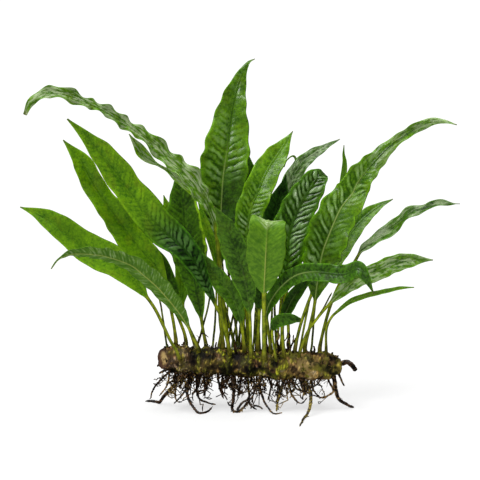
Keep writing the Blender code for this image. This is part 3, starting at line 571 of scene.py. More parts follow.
# %% Leaves on the right
LEAVES += [
    leaf_row("blunt_right", 21, 5, (2.5, 13, 18, 18.5, 16.5, 11.5, 3), stalk=0.3, turn=(-5, -5), quilt=1.25,
        tone=0.14, sheen=1.4, low_sheen=0.2, ruffle=(0.3, 8), rib=-0.3, lean=0.95, spacing=3.4,
        smooth_from=0.86, mottle=0.8,
        route=[(22, 50, 4), (23.5, 70, 6.5), (24.5, 85, 8.5), (26, 91, 9), (28, 96.5, 10.5),
        (31, 103, 11.5), (35.2, 109.8, 13), (38.6, 115, 15.5), (41.4, 117, 20.5), (42.8, 116.4, 25.5)]),
    leaf_row("curled_back", 18.5, 50, (2, 5, 7.5, 6, 1.8, 1.3, 0.9), stalk=0.35, thick=0.8, quilt=0.1,
        tone=0.9, ruffle=(0.05, 6), rib=0,
        route=[(20.5, 55, 19.5), (22, 85, 28.5), (24.5, 105, 34), (26.5, 117, 35), (28, 123.5, 34),
        (26.5, 126, 32.5), (23.5, 124, 30), (22, 120.5, 28.5)]),
    leaf_row("narrow_back", 25, 40, (2, 7, 9.5, 9.5, 7, 0.5), stalk=0.3, turn=(-14, -30), quilt=0.5,
        tone=0.14, sheen=0.6, gleam=0.3, ruffle=(0.3, 9), rib=0.2,
        route=[(23.5, 55, 14), (21.5, 80, 22), (22, 100, 27.5), (26, 114, 30), (32.5, 123.5, 31.5),
        (41.3, 129.7, 33), (50, 134.5, 36.5)]),
    leaf_row("thin_upright", 30.5, 52, (1.5, 2.2, 2.6, 2.4, 1.8, 3, 0.5), stalk=0.3, thick=0.7, quilt=0.1,
        tone=0.45, ruffle=(0.05, 6), rib=0,
        route=[(35, 55, 17), (42.5, 85, 27.5), (49, 105, 32.5), (51.8, 117, 35), (52.3, 123, 36),
        (51.8, 127, 36.5), (52, 131.5, 37)]),
    leaf_row("big_right", 33, 5, (2.5, 16, 21, 19.5, 15.5, 9.5, 5.5, 4.5, 0.5), stalk=0.18, turn=(0, -25),
        ripple=1, quilt=0.9, tone=0.5, low_tone=0.26, tip_gleam=0.4, plain_right=0.7, plain_dark=-0.5,
        sheen=0.7, low_sheen=0.7, ruffle=(0.5, 9.5), rib=0.9, lean=0.9, spacing=3.4, smooth_from=0.5,
        mottle=1.1,
        route=[(34, 37, 0), (37, 50, -1.5), (38.5, 61.5, -2.5), (41, 76.5, -4), (45.5, 89, -5),
        (50.5, 100, -5), (56.2, 107.2, -5), (59, 113, -5), (65.7, 121.5, -6.5), (75, 131, -8),
        (80, 134.7, -10), (87.5, 139.5, -13), (95, 143, -17), (102, 143.3, -19.5), (108.5, 141.5, -22)]),
    leaf_row("right_behind", 28, 15, (2, 8.5, 11, 10, 6.5, 0.5), stalk=0.32, turn=(-15, -25), quilt=0.22,
        tone=0.42, ruffle=(0.25, 9), rib=0, mottle=1.1,
        route=[(31, 44, 6.5), (37.5, 60.5, 10.5), (45, 71, 13), (52, 82.3, 15.5), (59.3, 92.3, 18),
        (67.8, 99.8, 20), (76.5, 104.5, 22)]),
    leaf_row("right_wavy", 40.5, 10, (2.5, 7, 8.5, 6, 4, 0.5), stalk=0.47, turn=(-37, -47), ripple=0.8,
        quilt=0.22, tone=0.16, gleam=0.42, ruffle=(0.3, 11), rib=-0.2,
        route=[(42, 40, 1.5), (45.5, 52, 0), (50.5, 63.5, -1.5), (56, 71, -2.5), (61, 79, -5),
        (66, 83.2, -6.5), (74, 88, -8), (80, 93.5, -10.5), (86, 98, -13), (93, 100.2, -15.5),
        (100, 102.5, -18), (110, 102, -23.5)]),
    leaf_row("right_lower", 30, -35, (2.2, 6.5, 8.5, 9, 7, 0.5), stalk=0.35, turn=(1, -9), thick=0.85,
        quilt=0.3, tone=0.4, gleam=0.5, ruffle=(0.3, 9), rib=0.4,
        route=[(33.5, 37.5, -7), (38, 44, -8.5), (42.5, 49.5, -10.5), (48.5, 56, -13), (54, 61, -15.5),
        (61, 65.5, -19.5), (67.5, 67.7, -22), (75.5, 71.5, -26), (82.5, 73.5, -28.5), (90, 74.2, -32.5),
        (96.5, 74, -36.5)]),
    leaf_row("lowest_right", 43.5, -20, (2, 2.9, 3, 2.6, 2, 0.5), stalk=0.3, turn=(-22, -32), thick=0.8,
        quilt=0.12, tone=0.5, sheen=0.3, ruffle=(0.15, 9), rib=0.3, mottle=1.1,
        route=[(43.2, 39, -4), (45.5, 45, -6.5), (49.5, 48.9, -9), (55, 53.1, -13), (62.5, 56, -17),
        (71, 58, -22), (80.5, 60, -27.5), (87, 60.3, -32.5)]),
]
print("leaves:", len(LEAVES))

# %% [markdown]
# ## The smooth leaf
#
# A leaf is a round stalk that flattens into a blade. It is lofted along its route: every row is a closed
# ring that runs over the upper face from the left margin to the right, and back along the underside. The
# rows of the blade lean towards the tip, as the side veins do, so that the relief can follow them.
# The ring also stores what the relief and the colours need: how far across, how far along, and so on.

# %% A closed skin over rings
def ring_mesh(name, rings, facts):
    """A closed skin over rings of points, with a UV map along it and named facts at every point."""
    rows, columns = rings.shape[:2]
    index = np.arange(rows * columns).reshape(rows, columns)
    after = np.roll(index, -1, axis=1)
    quads = np.stack([index[:-1], after[:-1], after[1:], index[1:]], axis=-1).reshape(-1, 4)
    faces = quads.tolist() + [index[0, ::-1].tolist(), index[-1].tolist()]
    mesh = bpy.data.meshes.new(name)
    mesh.from_pydata(rings.reshape(-1, 3), [], faces)
    layer = mesh.uv_layers.new(name="UVMap")
    cell = np.arange(rows * columns)
    row, column = cell[quads // columns], quads % columns
    column = np.where((column == 0) & (np.arange(4) % 3 > 0)[None, :], columns, column)
    spots = np.stack([column / columns, row / rows], axis=-1).reshape(-1, 2)
    spots = np.vstack([spots, np.zeros((2 * columns, 2))])
    layer.data.foreach_set("uv", spots.ravel())
    for key, values in facts.items():
        if np.ndim(values) == 3:
            mesh.attributes.new(key, "FLOAT_VECTOR", "POINT").data.foreach_set("vector", values.ravel())
        else:
            spread = np.broadcast_to(values, (rows, columns)).ravel()
            mesh.attributes.new(key, "FLOAT", "POINT").data.foreach_set("value", spread.astype(np.float32))
    shape = bmesh.new()
    shape.from_mesh(mesh)
    bmesh.ops.recalc_face_normals(shape, faces=shape.faces)
    shape.to_mesh(mesh)
    shape.free()
    mesh.shade_smooth()
    return mesh


# %% The columns and sizes of a leaf
STALK_RADIUS = 0.00082
BASE_LENGTH = 0.003
BLADE_THICKNESS = 0.00042
TIP_WIDTH = 0.0005
WAVE_LAG = 1.3
ROWS_PER_VEIN = 7
STALK_ROW = 0.0012
BASE_SINK = 0.0034
FOOT_SWELL = 0.40
FOOT_LENGTH = 0.0085
HALF_COLUMNS = np.array([0.0, 0.05, 0.11, 0.18, 0.26, 0.34, 0.43, 0.52, 0.61, 0.70, 0.79, 0.88, 0.95, 1.0])
TOP_COLUMNS = np.concatenate([-HALF_COLUMNS[::-1], HALF_COLUMNS[1:]])
ACROSS = np.concatenate([TOP_COLUMNS, TOP_COLUMNS[-2:0:-1]])
SIDE = np.concatenate([[0.0], np.ones(len(TOP_COLUMNS) - 2), [0.0], -np.ones(len(TOP_COLUMNS) - 2)])
# 1 on the right half of the blade
RIGHT = (ACROSS > 0).astype(float)
# How thick a round stalk is at each column
ROUND = np.sqrt(np.maximum(1.0 - ACROSS ** 2, 0.0))
# The ring of a stalk has a shallow groove on top
GROOVE = 0.22 * np.exp(-(ACROSS / 0.35) ** 2) * (SIDE > 0)


def blade_half(widths, share):
    """Half the blade's width, smooth between widths in mm at even steps from stalk to tip."""
    place = np.clip(share, 0.0, 1.0) * (len(widths) - 1)
    index = np.minimum(place.astype(int), len(widths) - 2)
    four = [widths[np.clip(index + step, 0, len(widths) - 1)] for step in (-1, 0, 1, 2)]
    return 0.5 * np.maximum(between(*four, place - index) * MM, TIP_WIDTH)


# %% The smooth leaf
def leaf_shares(leaf, path):
    """Where each point of the rings lies, as shares of the leaf's and the blade's length, and in mm."""
    stalk = leaf["stalk"]
    stalk_rows = round(stalk * path.length / STALK_ROW)
    blade_rows = round((1.0 - stalk) * path.length / (leaf["spacing"] * MM) * ROWS_PER_VEIN)
    shares = np.concatenate([np.linspace(0.0, stalk, stalk_rows, endpoint=False),
                             np.linspace(stalk, 1.0, blade_rows + 1)])[:, None]
    blade = np.maximum((shares - stalk) / (1.0 - stalk), 0.0)
    lean = leaf["lean"] * np.abs(ACROSS) * blade_half(leaf["widths"], blade)
    lean = lean * smooth(0.0, 0.05, blade) * (1.0 - smooth(0.86, 1.0, blade))
    share = np.minimum(shares + lean / path.length, 1.0)
    along = np.broadcast_to((shares - stalk) * path.length / MM, share.shape)
    return share, np.maximum((share - stalk) / (1.0 - stalk), 0.0), along


def leaf_looks(leaf, blade):
    """The facts that the relief and the colours read."""
    # A low_tone below tone darkens the base of the blade as painted shade
    low = 1.0 - smooth(*leaf["low_reach"], blade)
    quilt, tone, sheen = (leaf[key] + (leaf["low_" + key] - leaf[key]) * low
                          for key in ("quilt", "tone", "sheen"))
    plain = (ACROSS > 0.02) * (1.0 - smooth(0.40, 0.50, blade)) * leaf["plain_right"]
    quilt = quilt * (1.0 - 0.85 * plain)
    smooth_from = leaf["smooth_from"]
    return {
        "tone": tone * (1.0 - leaf["plain_dark"] * plain), "sheen": sheen, "mottle": leaf["mottle"],
        "rib": leaf["rib"], "relief": np.minimum(quilt, 1.0), "spacing": leaf["spacing"],
        "margin": np.where(RIGHT, leaf["right_margin"], 1.0),
        "gleam": leaf["gleam"] + leaf["tip_gleam"] * smooth(0.52, 0.72, blade),
        "shine": smooth(0.0, 0.05, blade - leaf["shine_from"] - 0.16 * np.abs(ACROSS)),
        "fade": (1.0 - 0.85 * smooth(smooth_from, smooth_from + 0.15, blade)) * quilt / leaf["quilt"],
    }


def smooth_leaf(leaf):
    """The stalk and blade of one leaf, before its quilting."""
    out = outward(leaf["angle"])
    start = on_stem(leaf["across"], out)
    path = Path([start, start + out * BASE_LENGTH] + places(leaf["route"]))
    share, blade, along_mm = leaf_shares(leaf, path)

    centre = path.at(share)
    front, along = path.facing(share, TOWARD)
    first, last = leaf["turn"]
    swing = np.radians(first + (last - first) * share)[..., None]
    upper = front * np.cos(swing) + np.cross(along, front) * np.sin(swing)
    right = np.cross(along, upper)

    radius = STALK_RADIUS * leaf["thick"] * (1.0 - 0.55 * blade)
    half = blade_half(leaf["widths"], blade) * smooth(leaf["stalk"] - 0.04, leaf["stalk"], share)
    flat = np.maximum(smooth(1.0, 3.0, half / radius), smooth(0.4, 0.8, blade))
    half = np.maximum(half, radius * (1.0 - flat))
    swell = 1.0 + FOOT_SWELL * (1.0 - smooth(0.0, FOOT_LENGTH / path.length, share))

    # The margin ruffles in short waves that never quite repeat, and swings in long ones
    height, length = leaf["ruffle"]
    distance = share * path.length / MM
    beat = 2.0 * math.pi * distance / length + 2.1 * RIGHT
    beat = beat + 0.9 * np.sin(distance / 9.7 + leaf["across"]) + 0.5 * np.sin(distance / 4.1)
    fade = smooth(0.03, 0.15, blade) * (1.0 - 0.6 * smooth(0.85, 1.0, blade))
    ruffle = height * MM * np.sin(beat) * fade
    scallop = 1.0 + 0.13 * height * np.sin(beat + 1.2) * fade
    wave = leaf["ripple"] * MM * np.sin(2.0 * math.pi * leaf["waves"] * blade + WAVE_LAG * RIGHT)
    bend = smooth(0.42, 0.64, blade) * (1.0 - smooth(0.80, 1.0, blade))
    lift = np.abs(ACROSS) * half * leaf["fold"] + wave * ACROSS ** 2 + ruffle * np.abs(ACROSS) ** 3
    lift = lift + leaf["cup"] * half * (1.0 - np.abs(ACROSS)) * bend

    # The stalk's ring is round with a groove; the blade's is a thin lens
    lens = 0.5 * BLADE_THICKNESS * (0.4 + 0.6 * ROUND) * SIDE
    x = (1.0 - flat) * ACROSS * radius * swell + flat * ACROSS * half * scallop
    y = (1.0 - flat) * (ROUND * SIDE - GROOVE) * radius * swell + flat * (lens + lift)
    rings = centre + right * x[..., None] + upper * y[..., None]
    rings[0] -= out * BASE_SINK
    return ring_mesh(leaf["name"], rings, {
        "across": ACROSS, "side": SIDE, "beside": ACROSS * half / MM, "along": along_mm, "blade": blade,
        "rise": distance, "flat": flat, "upper": upper, **leaf_looks(leaf, blade)})


# %% [markdown]
# ## The quilted relief
#
# Between the side veins the blade swells upward like quilting, and fine cross veins break each swelling
# into cells. The midrib is a raised line in a shallow groove above, and a round ridge below. All of it
# follows rules along and across the blade, so one Geometry Nodes tree makes it for every leaf, with the
# spacing and the heights as inputs.


# %% A tree of Geometry Nodes
class Tree(Maker):
    """A Geometry Nodes tree with named sizes as its inputs."""

    def __init__(self, name, sizes):
        super().__init__(bpy.data.node_groups.new(name, "GeometryNodeTree"))
        self.add_socket("Geometry", "INPUT", "NodeSocketGeometry")
        for key, value in sizes.items():
            kind = "NodeSocketInt" if isinstance(value, int) else "NodeSocketFloat"
            self.add_socket(key, "INPUT", kind).default_value = value
        self.add_socket("Finish", "INPUT", "NodeSocketMaterial")
        self.add_socket("Geometry", "OUTPUT", "NodeSocketGeometry")
        given = self.node("NodeGroupInput")
        self.size = {socket.name: Field(self, socket) for socket in given.outputs if socket.name}

    def add_socket(self, name, way, kind):
        """One more input or output of the whole tree."""
        return self.tree.interface.new_socket(name=name, in_out=way, socket_type=kind)

    def fact(self, name, kind="FLOAT"):
        """A named fact that the mesh carries."""
        return self.out("GeometryNodeInputNamedAttribute", {"data_type": kind}, {"Name": name})

    def stored(self, geometry, name, value):
        """The geometry with one more named fact."""
        return self.out("GeometryNodeStoreNamedAttribute", {"data_type": "FLOAT", "domain": "POINT"},
                        {"Geometry": geometry, "Name": name, "Value": value})

    def place(self, scale=1.0):
        """Where each point is, in mm or in steps of another scale."""
        return self.scaled(self.out("GeometryNodeInputPosition"), scale / MM)

    def put_at(self, geometry, place):
        return self.out("GeometryNodeSetPosition", None, {"Geometry": geometry, "Position": place})

    def moved(self, geometry, offset):
        return self.out("GeometryNodeSetPosition", None, {"Geometry": geometry, "Offset": offset})

    def swollen(self, geometry, height):
        """Moves every point along its normal."""
        return self.moved(geometry, self.scaled(self.out("GeometryNodeInputNormal"), height))

    def above_floor(self, geometry, clearance=0.0):
        """Keeps every point at least this high."""
        x, y, z = self.split(self.out("GeometryNodeInputPosition"))
        return self.put_at(geometry, self.vector(x, y, z.at_least(clearance)))

    def tube(self, curve, radius):
        """A closed tube along a curve."""
        profile = self.out("GeometryNodeCurvePrimitiveCircle", None,
                           {"Resolution": self.size["Sides"], "Radius": 1.0})
        return self.out("GeometryNodeCurveToMesh", None,
                        {"Curve": curve, "Profile Curve": profile, "Scale": radius, "Fill Caps": True})

    def random_vector(self, low, high):
        return self.out("FunctionNodeRandomValue", {"data_type": "FLOAT_VECTOR"},
                        {"Min": low, "Max": high, "Seed": self.size["Seed"]})

    def end(self, geometry):
        """Realizes the instances, sets the material and closes the tree."""
        real = self.out("GeometryNodeRealizeInstances", None, {"Geometry": geometry})
        done = self.out("GeometryNodeSetMaterial", None, {"Geometry": real, "Material": self.size["Finish"]})
        self.node("NodeGroupOutput", None, {"Geometry": done})


def grown(name, mesh, maker, finish, sizes=None, nodes=(), slot="root"):
    """Runs a tree on a mesh and keeps the result as a plain mesh on an object that rides on the plant."""
    seed = bpy.data.objects.new(name + "_seed", mesh)
    scene.collection.objects.link(seed)
    modifier = seed.modifiers.new(maker.tree.name, "NODES")
    modifier.node_group = maker.tree
    items = maker.tree.interface.items_tree
    sockets = {item.name: item.identifier for item in items if item.in_out == "INPUT"}
    for key, value in {"Finish": finish.material, **(sizes or {})}.items():
        modifier[sockets[key]] = value
    bpy.context.view_layer.update()
    graph = bpy.context.evaluated_depsgraph_get()
    plain = bpy.data.meshes.new_from_object(seed.evaluated_get(graph), preserve_all_data_layers=True,
                                            depsgraph=graph)
    bpy.data.objects.remove(seed)
    bpy.data.meshes.remove(mesh)
    plain.name = name
    piece = bpy.data.objects.new(name, plain)
    scene.collection.objects.link(piece)
    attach(piece, "root")
    if nodes:
        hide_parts(*nodes)
    return piece


# %% The relief of a leaf
# The height that the colours see where a blade isn't quilted
SMOOTH_LEVEL = 0.45
relief = Tree("leaf_relief", {"Spacing Share": 1.0, "Quilt Height": 0.50, "Midrib Height": 0.35,
                              "Grain Height": 0.10, "Seed": 1.0})
size, fact, noise, vector = relief.size, relief.fact, relief.noise, relief.vector
across, beside, along, blade, flat, side = (
    fact(key) for key in ("across", "beside", "along", "blade", "flat", "side"))
right_half = across.above(0.0)
track = vector(along * 0.35, right_half * 7.3 + size["Seed"], 0.0)
beat = along / (fact("spacing") * size["Spacing Share"]) + right_half * 0.45
beat = beat + (noise(track, 0.35) - 0.5) * 1.7
beat = beat + (noise(vector(along * 0.2, beside * 0.25, size["Seed"]), 1.0, 1.0) - 0.5) * 0.9
beat = beat + (noise(vector(along * 0.25, beside * 0.45, size["Seed"]), 1.0, 0.0) - 0.5) * 0.5
ridge = vector(beat.whole(), right_half + size["Seed"], 0.0)
gain = relief.out("ShaderNodeTexWhiteNoise", {"noise_dimensions": "2D"}, {"Vector": ridge}) * 0.75 + 0.45
swelling = abs((beat * math.pi).sine()) ** 0.7 * gain
cell_track = vector(beat.whole() * 3.7, right_half * 11.0 + size["Seed"], 0.0)
cell_shift = noise(cell_track, 1.3, 0.0)
cells = 1.0 - 0.25 * abs(((abs(beside) / 2.4 + cell_shift * 2.0) * math.pi).sine()) ** 6
reach = abs(across).rise(0.03, 0.16) * (1.0 - abs(across).rise(0.60, 0.86))
ends = blade.rise(0.02, 0.10) * (1.0 - blade.rise(0.88, 0.99)) * flat * fact("fade")
patch = noise(vector(along * 0.06, beside * 0.12, size["Seed"]), 1.0, 1.0)
raised = (swelling * cells * reach * ends - reach * ends * 0.45) * size["Quilt Height"] * (0.35 + patch * 1.3)
midrib = (beside.hump(0.36) * 1.1 - beside.hump(1.2) * 1.0) * size["Midrib Height"] * side.at_least(0.0)
keel = beside.hump(0.62) * side.at_most(0.0) * size["Midrib Height"] * 1.5
grain = (noise(relief.place(), 0.9, 3.0) - 0.5) * size["Grain Height"]
slim = flat * (1.0 - blade.rise(0.80, 1.0))
total = (raised + (midrib + keel) * slim + grain * flat) * MM
moved = relief.moved(size["Geometry"], relief.scaled(fact("upper", "FLOAT_VECTOR"), total))
level = (swelling * cells - SMOOTH_LEVEL) * reach * ends + SMOOTH_LEVEL
relief.end(relief.stored(moved, "swelling", level))
print("leaf relief nodes:", len(relief.tree.nodes))

# %% [markdown]
# ## The finish of the leaves
#
# One material serves every leaf. Its colours come from facts on the mesh: the tone, how far across and
# along a point lies, and how high the quilting stands there. The upper face is glossy, with its hollows
# painted dark and its swellings painted lighter as painted shade and light, a painted grey sheen and
# painted highlights on the swellings, long painted highlight streaks on some leaves, and a thin painted
# shadow along the edge. The margin is a paler band, the midrib is pale, and the underside is a duller
# grey-green with a painted sheen and shine. The stalk is olive, painted darker along its sides as painted
# shade, and brown where it leaves the rhizome.

# %% The green of the upper face
leaf_paint = Finish("leaf_green")
mixed, noise, here, read = leaf_paint.mixed, leaf_paint.noise, leaf_paint.here, leaf_paint.read
tone, across, beside, along, blade, flat, rise, swelling, side, margin, pale_rib, quilted, mottle, sheen = (
    read(key) for key in ("tone", "across", "beside", "along", "blade", "flat", "rise", "swelling", "side",
                          "margin", "rib", "relief", "mottle", "sheen"))
patches = noise(here, 95.0, 3.0, 0.6)
flecks = noise(here, 430.0, 3.0, 0.65)
specks = noise(here, 1200.0, 2.0, 0.6)
dark = mixed(tone, (4, 26, 0), (66, 118, 0))
light = mixed(tone, (48, 102, 0), (142, 196, 2))
# The swellings are painted lighter and the hollows between them darker, as painted light and shade; the
# mottling is the leaf's own
lit = (swelling - SMOOTH_LEVEL) * (quilted * 1.5).at_most(1.35) + 0.44
lit = lit + ((patches - 0.5) * 0.9 + (flecks - 0.5) * 1.2 + (specks - 0.5) * 1.1) * mottle
lit = lit - (1.0 - abs(across).rise(0.15, 0.70)) * 0.16
upper = mixed(lit.at_least(0.0).at_most(1.0), dark, light)
warm = noise(leaf_paint.added(here, (0.5, 0.0, 0.2)), 150.0, 2.0, 0.6).rise(0.50, 0.66)
upper = upper.toward(warm * tone * 0.22, (134, 140, 12))

# %% Painted sheen, painted highlights, painted shade and the ribs
lustre = noise(here, 60.0, 2.0, 0.6).rise(0.36, 0.58)
# A painted grey sheen on top of the swellings, in patches
bloom_and_painted_sheen = swelling.rise(0.40, 0.75) * sheen * quilted.rise(0.1, 0.6) * (flecks * 0.7 + 0.30)
bloom_and_painted_sheen = bloom_and_painted_sheen * (lustre * 0.6 + 0.4)
upper = upper.toward(bloom_and_painted_sheen.at_most(0.85), (124, 152, 100))
# Painted highlights on the crests of the swellings
crest_highlight = swelling.rise(0.72, 1.05) * sheen * quilted.rise(0.4, 1.0) * specks.rise(0.38, 0.62) * lustre
upper = upper.toward(crest_highlight.at_most(0.9), (186, 204, 168))
# Long pale streaks of painted highlight, on the leaves that have gleam
gleam = noise(leaf_paint.vector(along * 0.17, beside * 0.85, tone * 3.0), 1.0, 3.0, 0.6).rise(0.44, 0.60)
upper = upper.toward((gleam * read("gleam") * (flecks * 0.8 + 0.6)).at_most(0.8), (176, 192, 148))
# The hollows between the swellings are darkened further as painted shade
valley_shade = (1.0 - swelling.rise(0.02, 0.26)) * quilted.rise(0.35, 1.0) * (1.0 - abs(across).rise(0.55, 0.8))
upper = upper.toward(valley_shade * (flat - blade.rise(0.45, 0.75)).at_least(0.0) * 0.5, (14, 46, 2))
# A paler band along the margin; where margin is above 1, the brighter right margin is painted light
rim = abs(across).rise(0.78, 0.97) * 0.60 * margin * flecks.rise(0.3, 0.6)
rim_green = mixed(tone + (margin - 1.0) * 0.5, (84, 150, 2), (150, 200, 16))
upper = upper.toward(rim.at_most(1.0), rim_green)
# A thin dark line at the very edge is a painted shadow
upper = upper.toward(across.rise(0.955, 0.99) * 0.55, (58, 58, 42))
rib = beside.hump(0.30) * (1.0 - blade.rise(0.70, 0.95))
low_down = 1.0 - blade.rise(0.42, 0.64)
dark_rib = abs(pale_rib) - pale_rib.at_least(0.0) * low_down
upper = upper.toward(rib * dark_rib * 0.8, (14, 44, 4))
upper = upper.toward(rib * pale_rib.at_least(0.0) * low_down * 0.9, (150, 170, 92))

# %% The underside
streaks = noise(leaf_paint.vector(along * 0.9, beside * 0.22, tone), 1.0, 3.0, 0.65)
shine = read("shine")
lower = mixed(streaks.rise(0.25, 0.75), mixed(tone, (30, 72, 0), (92, 142, 0)),
              mixed(tone, (96, 132, 36), (116, 168, 2)))
lower = lower.toward((flecks - 0.40).at_least(0.0) * 2.4, (52, 100, 0))
# Pale streaks of painted sheen on the underside
lower = lower.toward(streaks.rise(0.52, 0.68) * sheen * 0.8, (168, 182, 146))
lower_rib = beside.hump(0.26) * (1.0 - blade.rise(0.35, 0.62) * (1.0 - pale_rib)) * 0.85
lower = lower.toward(lower_rib, (164, 174, 78))
# Where the light leaf in front bends over, its shine is painted
lower = lower.toward(shine * streaks.rise(0.34, 0.50) * 0.8, (120, 150, 70))
lower = lower.toward(shine * streaks.rise(0.50, 0.62) * 0.6, (184, 202, 156))

# %% The stalk, and the gloss of the whole leaf
ring = noise(here, 260.0, 3.0, 0.6)
stalk = mixed(ring.rise(0.25, 0.75), (70, 90, 0), (166, 180, 26))
# The sides of the round stalk are painted darker as painted shade
stalk = stalk.toward(abs(across).rise(0.45, 0.95) * 0.6, (38, 50, 2))
stalk = stalk.toward((1.0 - rise.rise(2.0, 15.0)) * (ring * 0.9 - 0.1), (92, 66, 20))
foot_colour = mixed(flecks.rise(0.42, 0.62), (24, 16, 5), (108, 98, 26))
stalk = stalk.toward((1.0 - rise.rise(2.5, 6.5)) * 0.65, foot_colour)
under = (side * -1.0).rise(0.0, 1.0)
face = mixed(under, upper, lower).toward(blade.rise(0.97, 1.0) * 0.55, (92, 84, 40))
leaf_paint.feed(
    Base_Color=mixed(flat.rise(0.05, 0.75), stalk, face),
    Roughness=0.40 - quilted * 0.22 + patches * 0.18 + under * 0.10 - shine * 0.2 - (1.0 - flat) * 0.10,
    Normal=leaf_paint.bump(specks + flecks, 0.5, 0.00016), Specular_IOR_Level=0.26,
    Coat_Weight=(quilted * 0.24 + 0.05) * (1.0 - under), Coat_Roughness=0.16)

# %% [markdown]
# ## Grow the leaves
#
# Each leaf is lofted, quilted by the tree and painted, and takes the place of its plain solid.

# %% Grow the leaves
QUILT = 0.72
MIDRIB = 0.34
YOUNG = ("front_light", "young_centre_left", "small_behind_left")
leaf_triangles = 0
for number, leaf in enumerate(LEAVES):
    name = leaf["name"]
    sizes = {"Quilt Height": QUILT * leaf["quilt"], "Midrib Height": MIDRIB * leaf["thick"],
             "Seed": 3.0 * number}
    piece = grown(name + "_leaf", smooth_leaf(leaf), relief, leaf_paint, sizes, ["leaf_" + name],
                  "young_leaf" if name in YOUNG else "leaf")
    leaf_triangles += 2 * len(piece.data.polygons)
print("leaves:", len(LEAVES), "with about", leaf_triangles, "triangles")

# %% [markdown]
# ## The rhizome
#
# The rhizome is a lumpy creeping stem. Its skin is lofted in rings along the same route as its solid, with
# the same knobs, and a cushion where each leaf grows out. The left end is an old cut that faces left and
# front, so its rings are sheared, and the cut face is dished by rings that shrink to its middle.

# %% The rhizome's rings
KNOBS = [(0.06, 20, 0.9, 5.0), (0.14, -60, 0.8, 4.0), (0.22, 70, 0.9, 5.0), (0.30, -20, 1.0, 4.5),
         (0.37, -110, 0.8, 4.0), (0.45, 40, 1.0, 5.0), (0.52, -70, 0.9, 4.0), (0.60, 10, 1.1, 5.0),
         (0.67, -130, 0.8, 4.5), (0.74, -40, 1.0, 4.5), (0.80, 60, 0.9, 5.0), (0.87, -90, 0.9, 4.0),
         (0.93, 10, 1.0, 5.0), (0.335, -60, 1.0, 2.6), (0.12, -20, 0.8, 2.6), (0.58, -45, 0.9, 2.4),
         (0.70, 0, 1.1, 2.6), (0.84, -10, 0.8, 2.4), (0.985, 0, 1.2, 2.6), (0.26, -95, 0.8, 2.4),
         (0.48, -100, 0.9, 2.4), (0.76, -80, 0.8, 3.0), (0.19, -25, -0.9, 2.2), (0.41, -20, -1.0, 2.2),
         (0.55, -5, -0.9, 1.8), (0.635, -30, -1.3, 2.2), (0.765, -5, -0.9, 2.4), (0.90, -45, -0.7, 2.4)]
LEFT_END_TAPER = 0.22
RIGHT_END_TAPER = 0.38
STEM_ROWS = 230
STEM_SIDES = 84
CUT_RINGS = np.array([0.04, 0.25, 0.45, 0.63, 0.78, 0.90, 0.97])
CUT_DISH = 0.0011
CUT_SHEAR = 0.42
CUSHION_HEIGHT = 0.0011
CUSHION_LENGTH = 0.0019
CUSHION_ROUND = 0.0058


def turn_from(angles, angle):
    """How far each angle is from one in degrees, in radians either way round."""
    return (angles - math.radians(angle) + math.pi) % (2.0 * math.pi) - math.pi


def stem_swell(shares, angles):
    """The radius of the rhizome, and how near each place is to a leaf's base."""
    taper = 1.0 - RIGHT_END_TAPER * smooth(0.94, 1.0, shares)
    taper = taper - LEFT_END_TAPER * (1.0 - smooth(0.0, 0.10, shares))
    waist = 0.05 * np.sin(shares * 31.0) + 0.04 * np.sin(shares * 53.0 + 1.0)
    radius = RHIZOME_RADIUS * taper * (1.0 + waist)
    for share, angle, height, spread in KNOBS:
        off = np.hypot((shares - share) * stem_path.length, turn_from(angles, angle) * RHIZOME_RADIUS)
        radius = radius + height * MM * np.exp(-(off / (spread * MM)) ** 2)
    green = np.zeros(radius.shape)
    for leaf in LEAVES:
        across = stem_path.at(shares)[..., 0] - SHIFT[0] - leaf["across"] * MM
        turn = turn_from(angles, leaf["angle"])
        # A cushion runs a little down the front from where its leaf leaves the rhizome
        down = np.where(turn < 0, 0.6, 1.0)
        near = np.exp(-(across / CUSHION_LENGTH) ** 2 - (turn * down * RHIZOME_RADIUS / CUSHION_ROUND) ** 2)
        green = np.maximum(green, near)
    return radius + CUSHION_HEIGHT * green, green


def rhizome_mesh():
    """The rhizome's skin with its cut end on the left and its blunt end on the right."""
    shares = np.linspace(0.0, 1.0, STEM_ROWS)[:, None]
    angles = np.linspace(0.0, 2.0 * math.pi, STEM_SIDES, endpoint=False)[None, :]
    radius, green = stem_swell(shares, angles)
    ends = len(CUT_RINGS)
    scale = np.concatenate([CUT_RINGS, np.ones(STEM_ROWS), np.sqrt(1.0 - CUT_RINGS[1:] ** 2) * 0.98])[:, None]
    tail = len(scale) - ends - STEM_ROWS
    repeat = np.concatenate([np.zeros(ends, int), np.arange(STEM_ROWS), np.full(tail, STEM_ROWS - 1)])
    shares, radius, green = shares[repeat], radius[repeat] * scale, green[repeat]
    centre, along = skin_path.at(shares), skin_path.direction(shares)
    up = unit(np.array([0.0, 0.0, 1.0]) - along * along[..., 2:])
    back = np.cross(up, along)
    upward, backward = radius * np.cos(angles), radius * np.sin(angles)
    dish = CUT_DISH * (1.0 - scale[:ends] ** 2) * (1.0 + 0.4 * np.sin(angles * 3.0))
    forward = np.zeros(radius.shape)
    forward[:ends] = dish
    forward[ends + STEM_ROWS:] = RHIZOME_RADIUS * 0.30 * CUT_RINGS[1:tail + 1, None]
    forward = forward - CUT_SHEAR * backward * (1.0 - smooth(0.0, 0.12, shares))
    rings = centre + up * upward[..., None] + back * backward[..., None] + along * forward[..., None]
    cut = np.concatenate([1.0 - 0.25 * CUT_RINGS ** 6, np.zeros(len(scale) - ends)])[:, None]
    return ring_mesh("rhizome", rings, {"cut": cut, "green": green, "ring": scale})


# %% [markdown]
# ## Bark
#
# The skin is bark: soft lumps a few millimetres across, wrinkles that run round the rhizome, and fine grain.
# They are layers of noise along the normal, in one tree with the sizes as inputs.

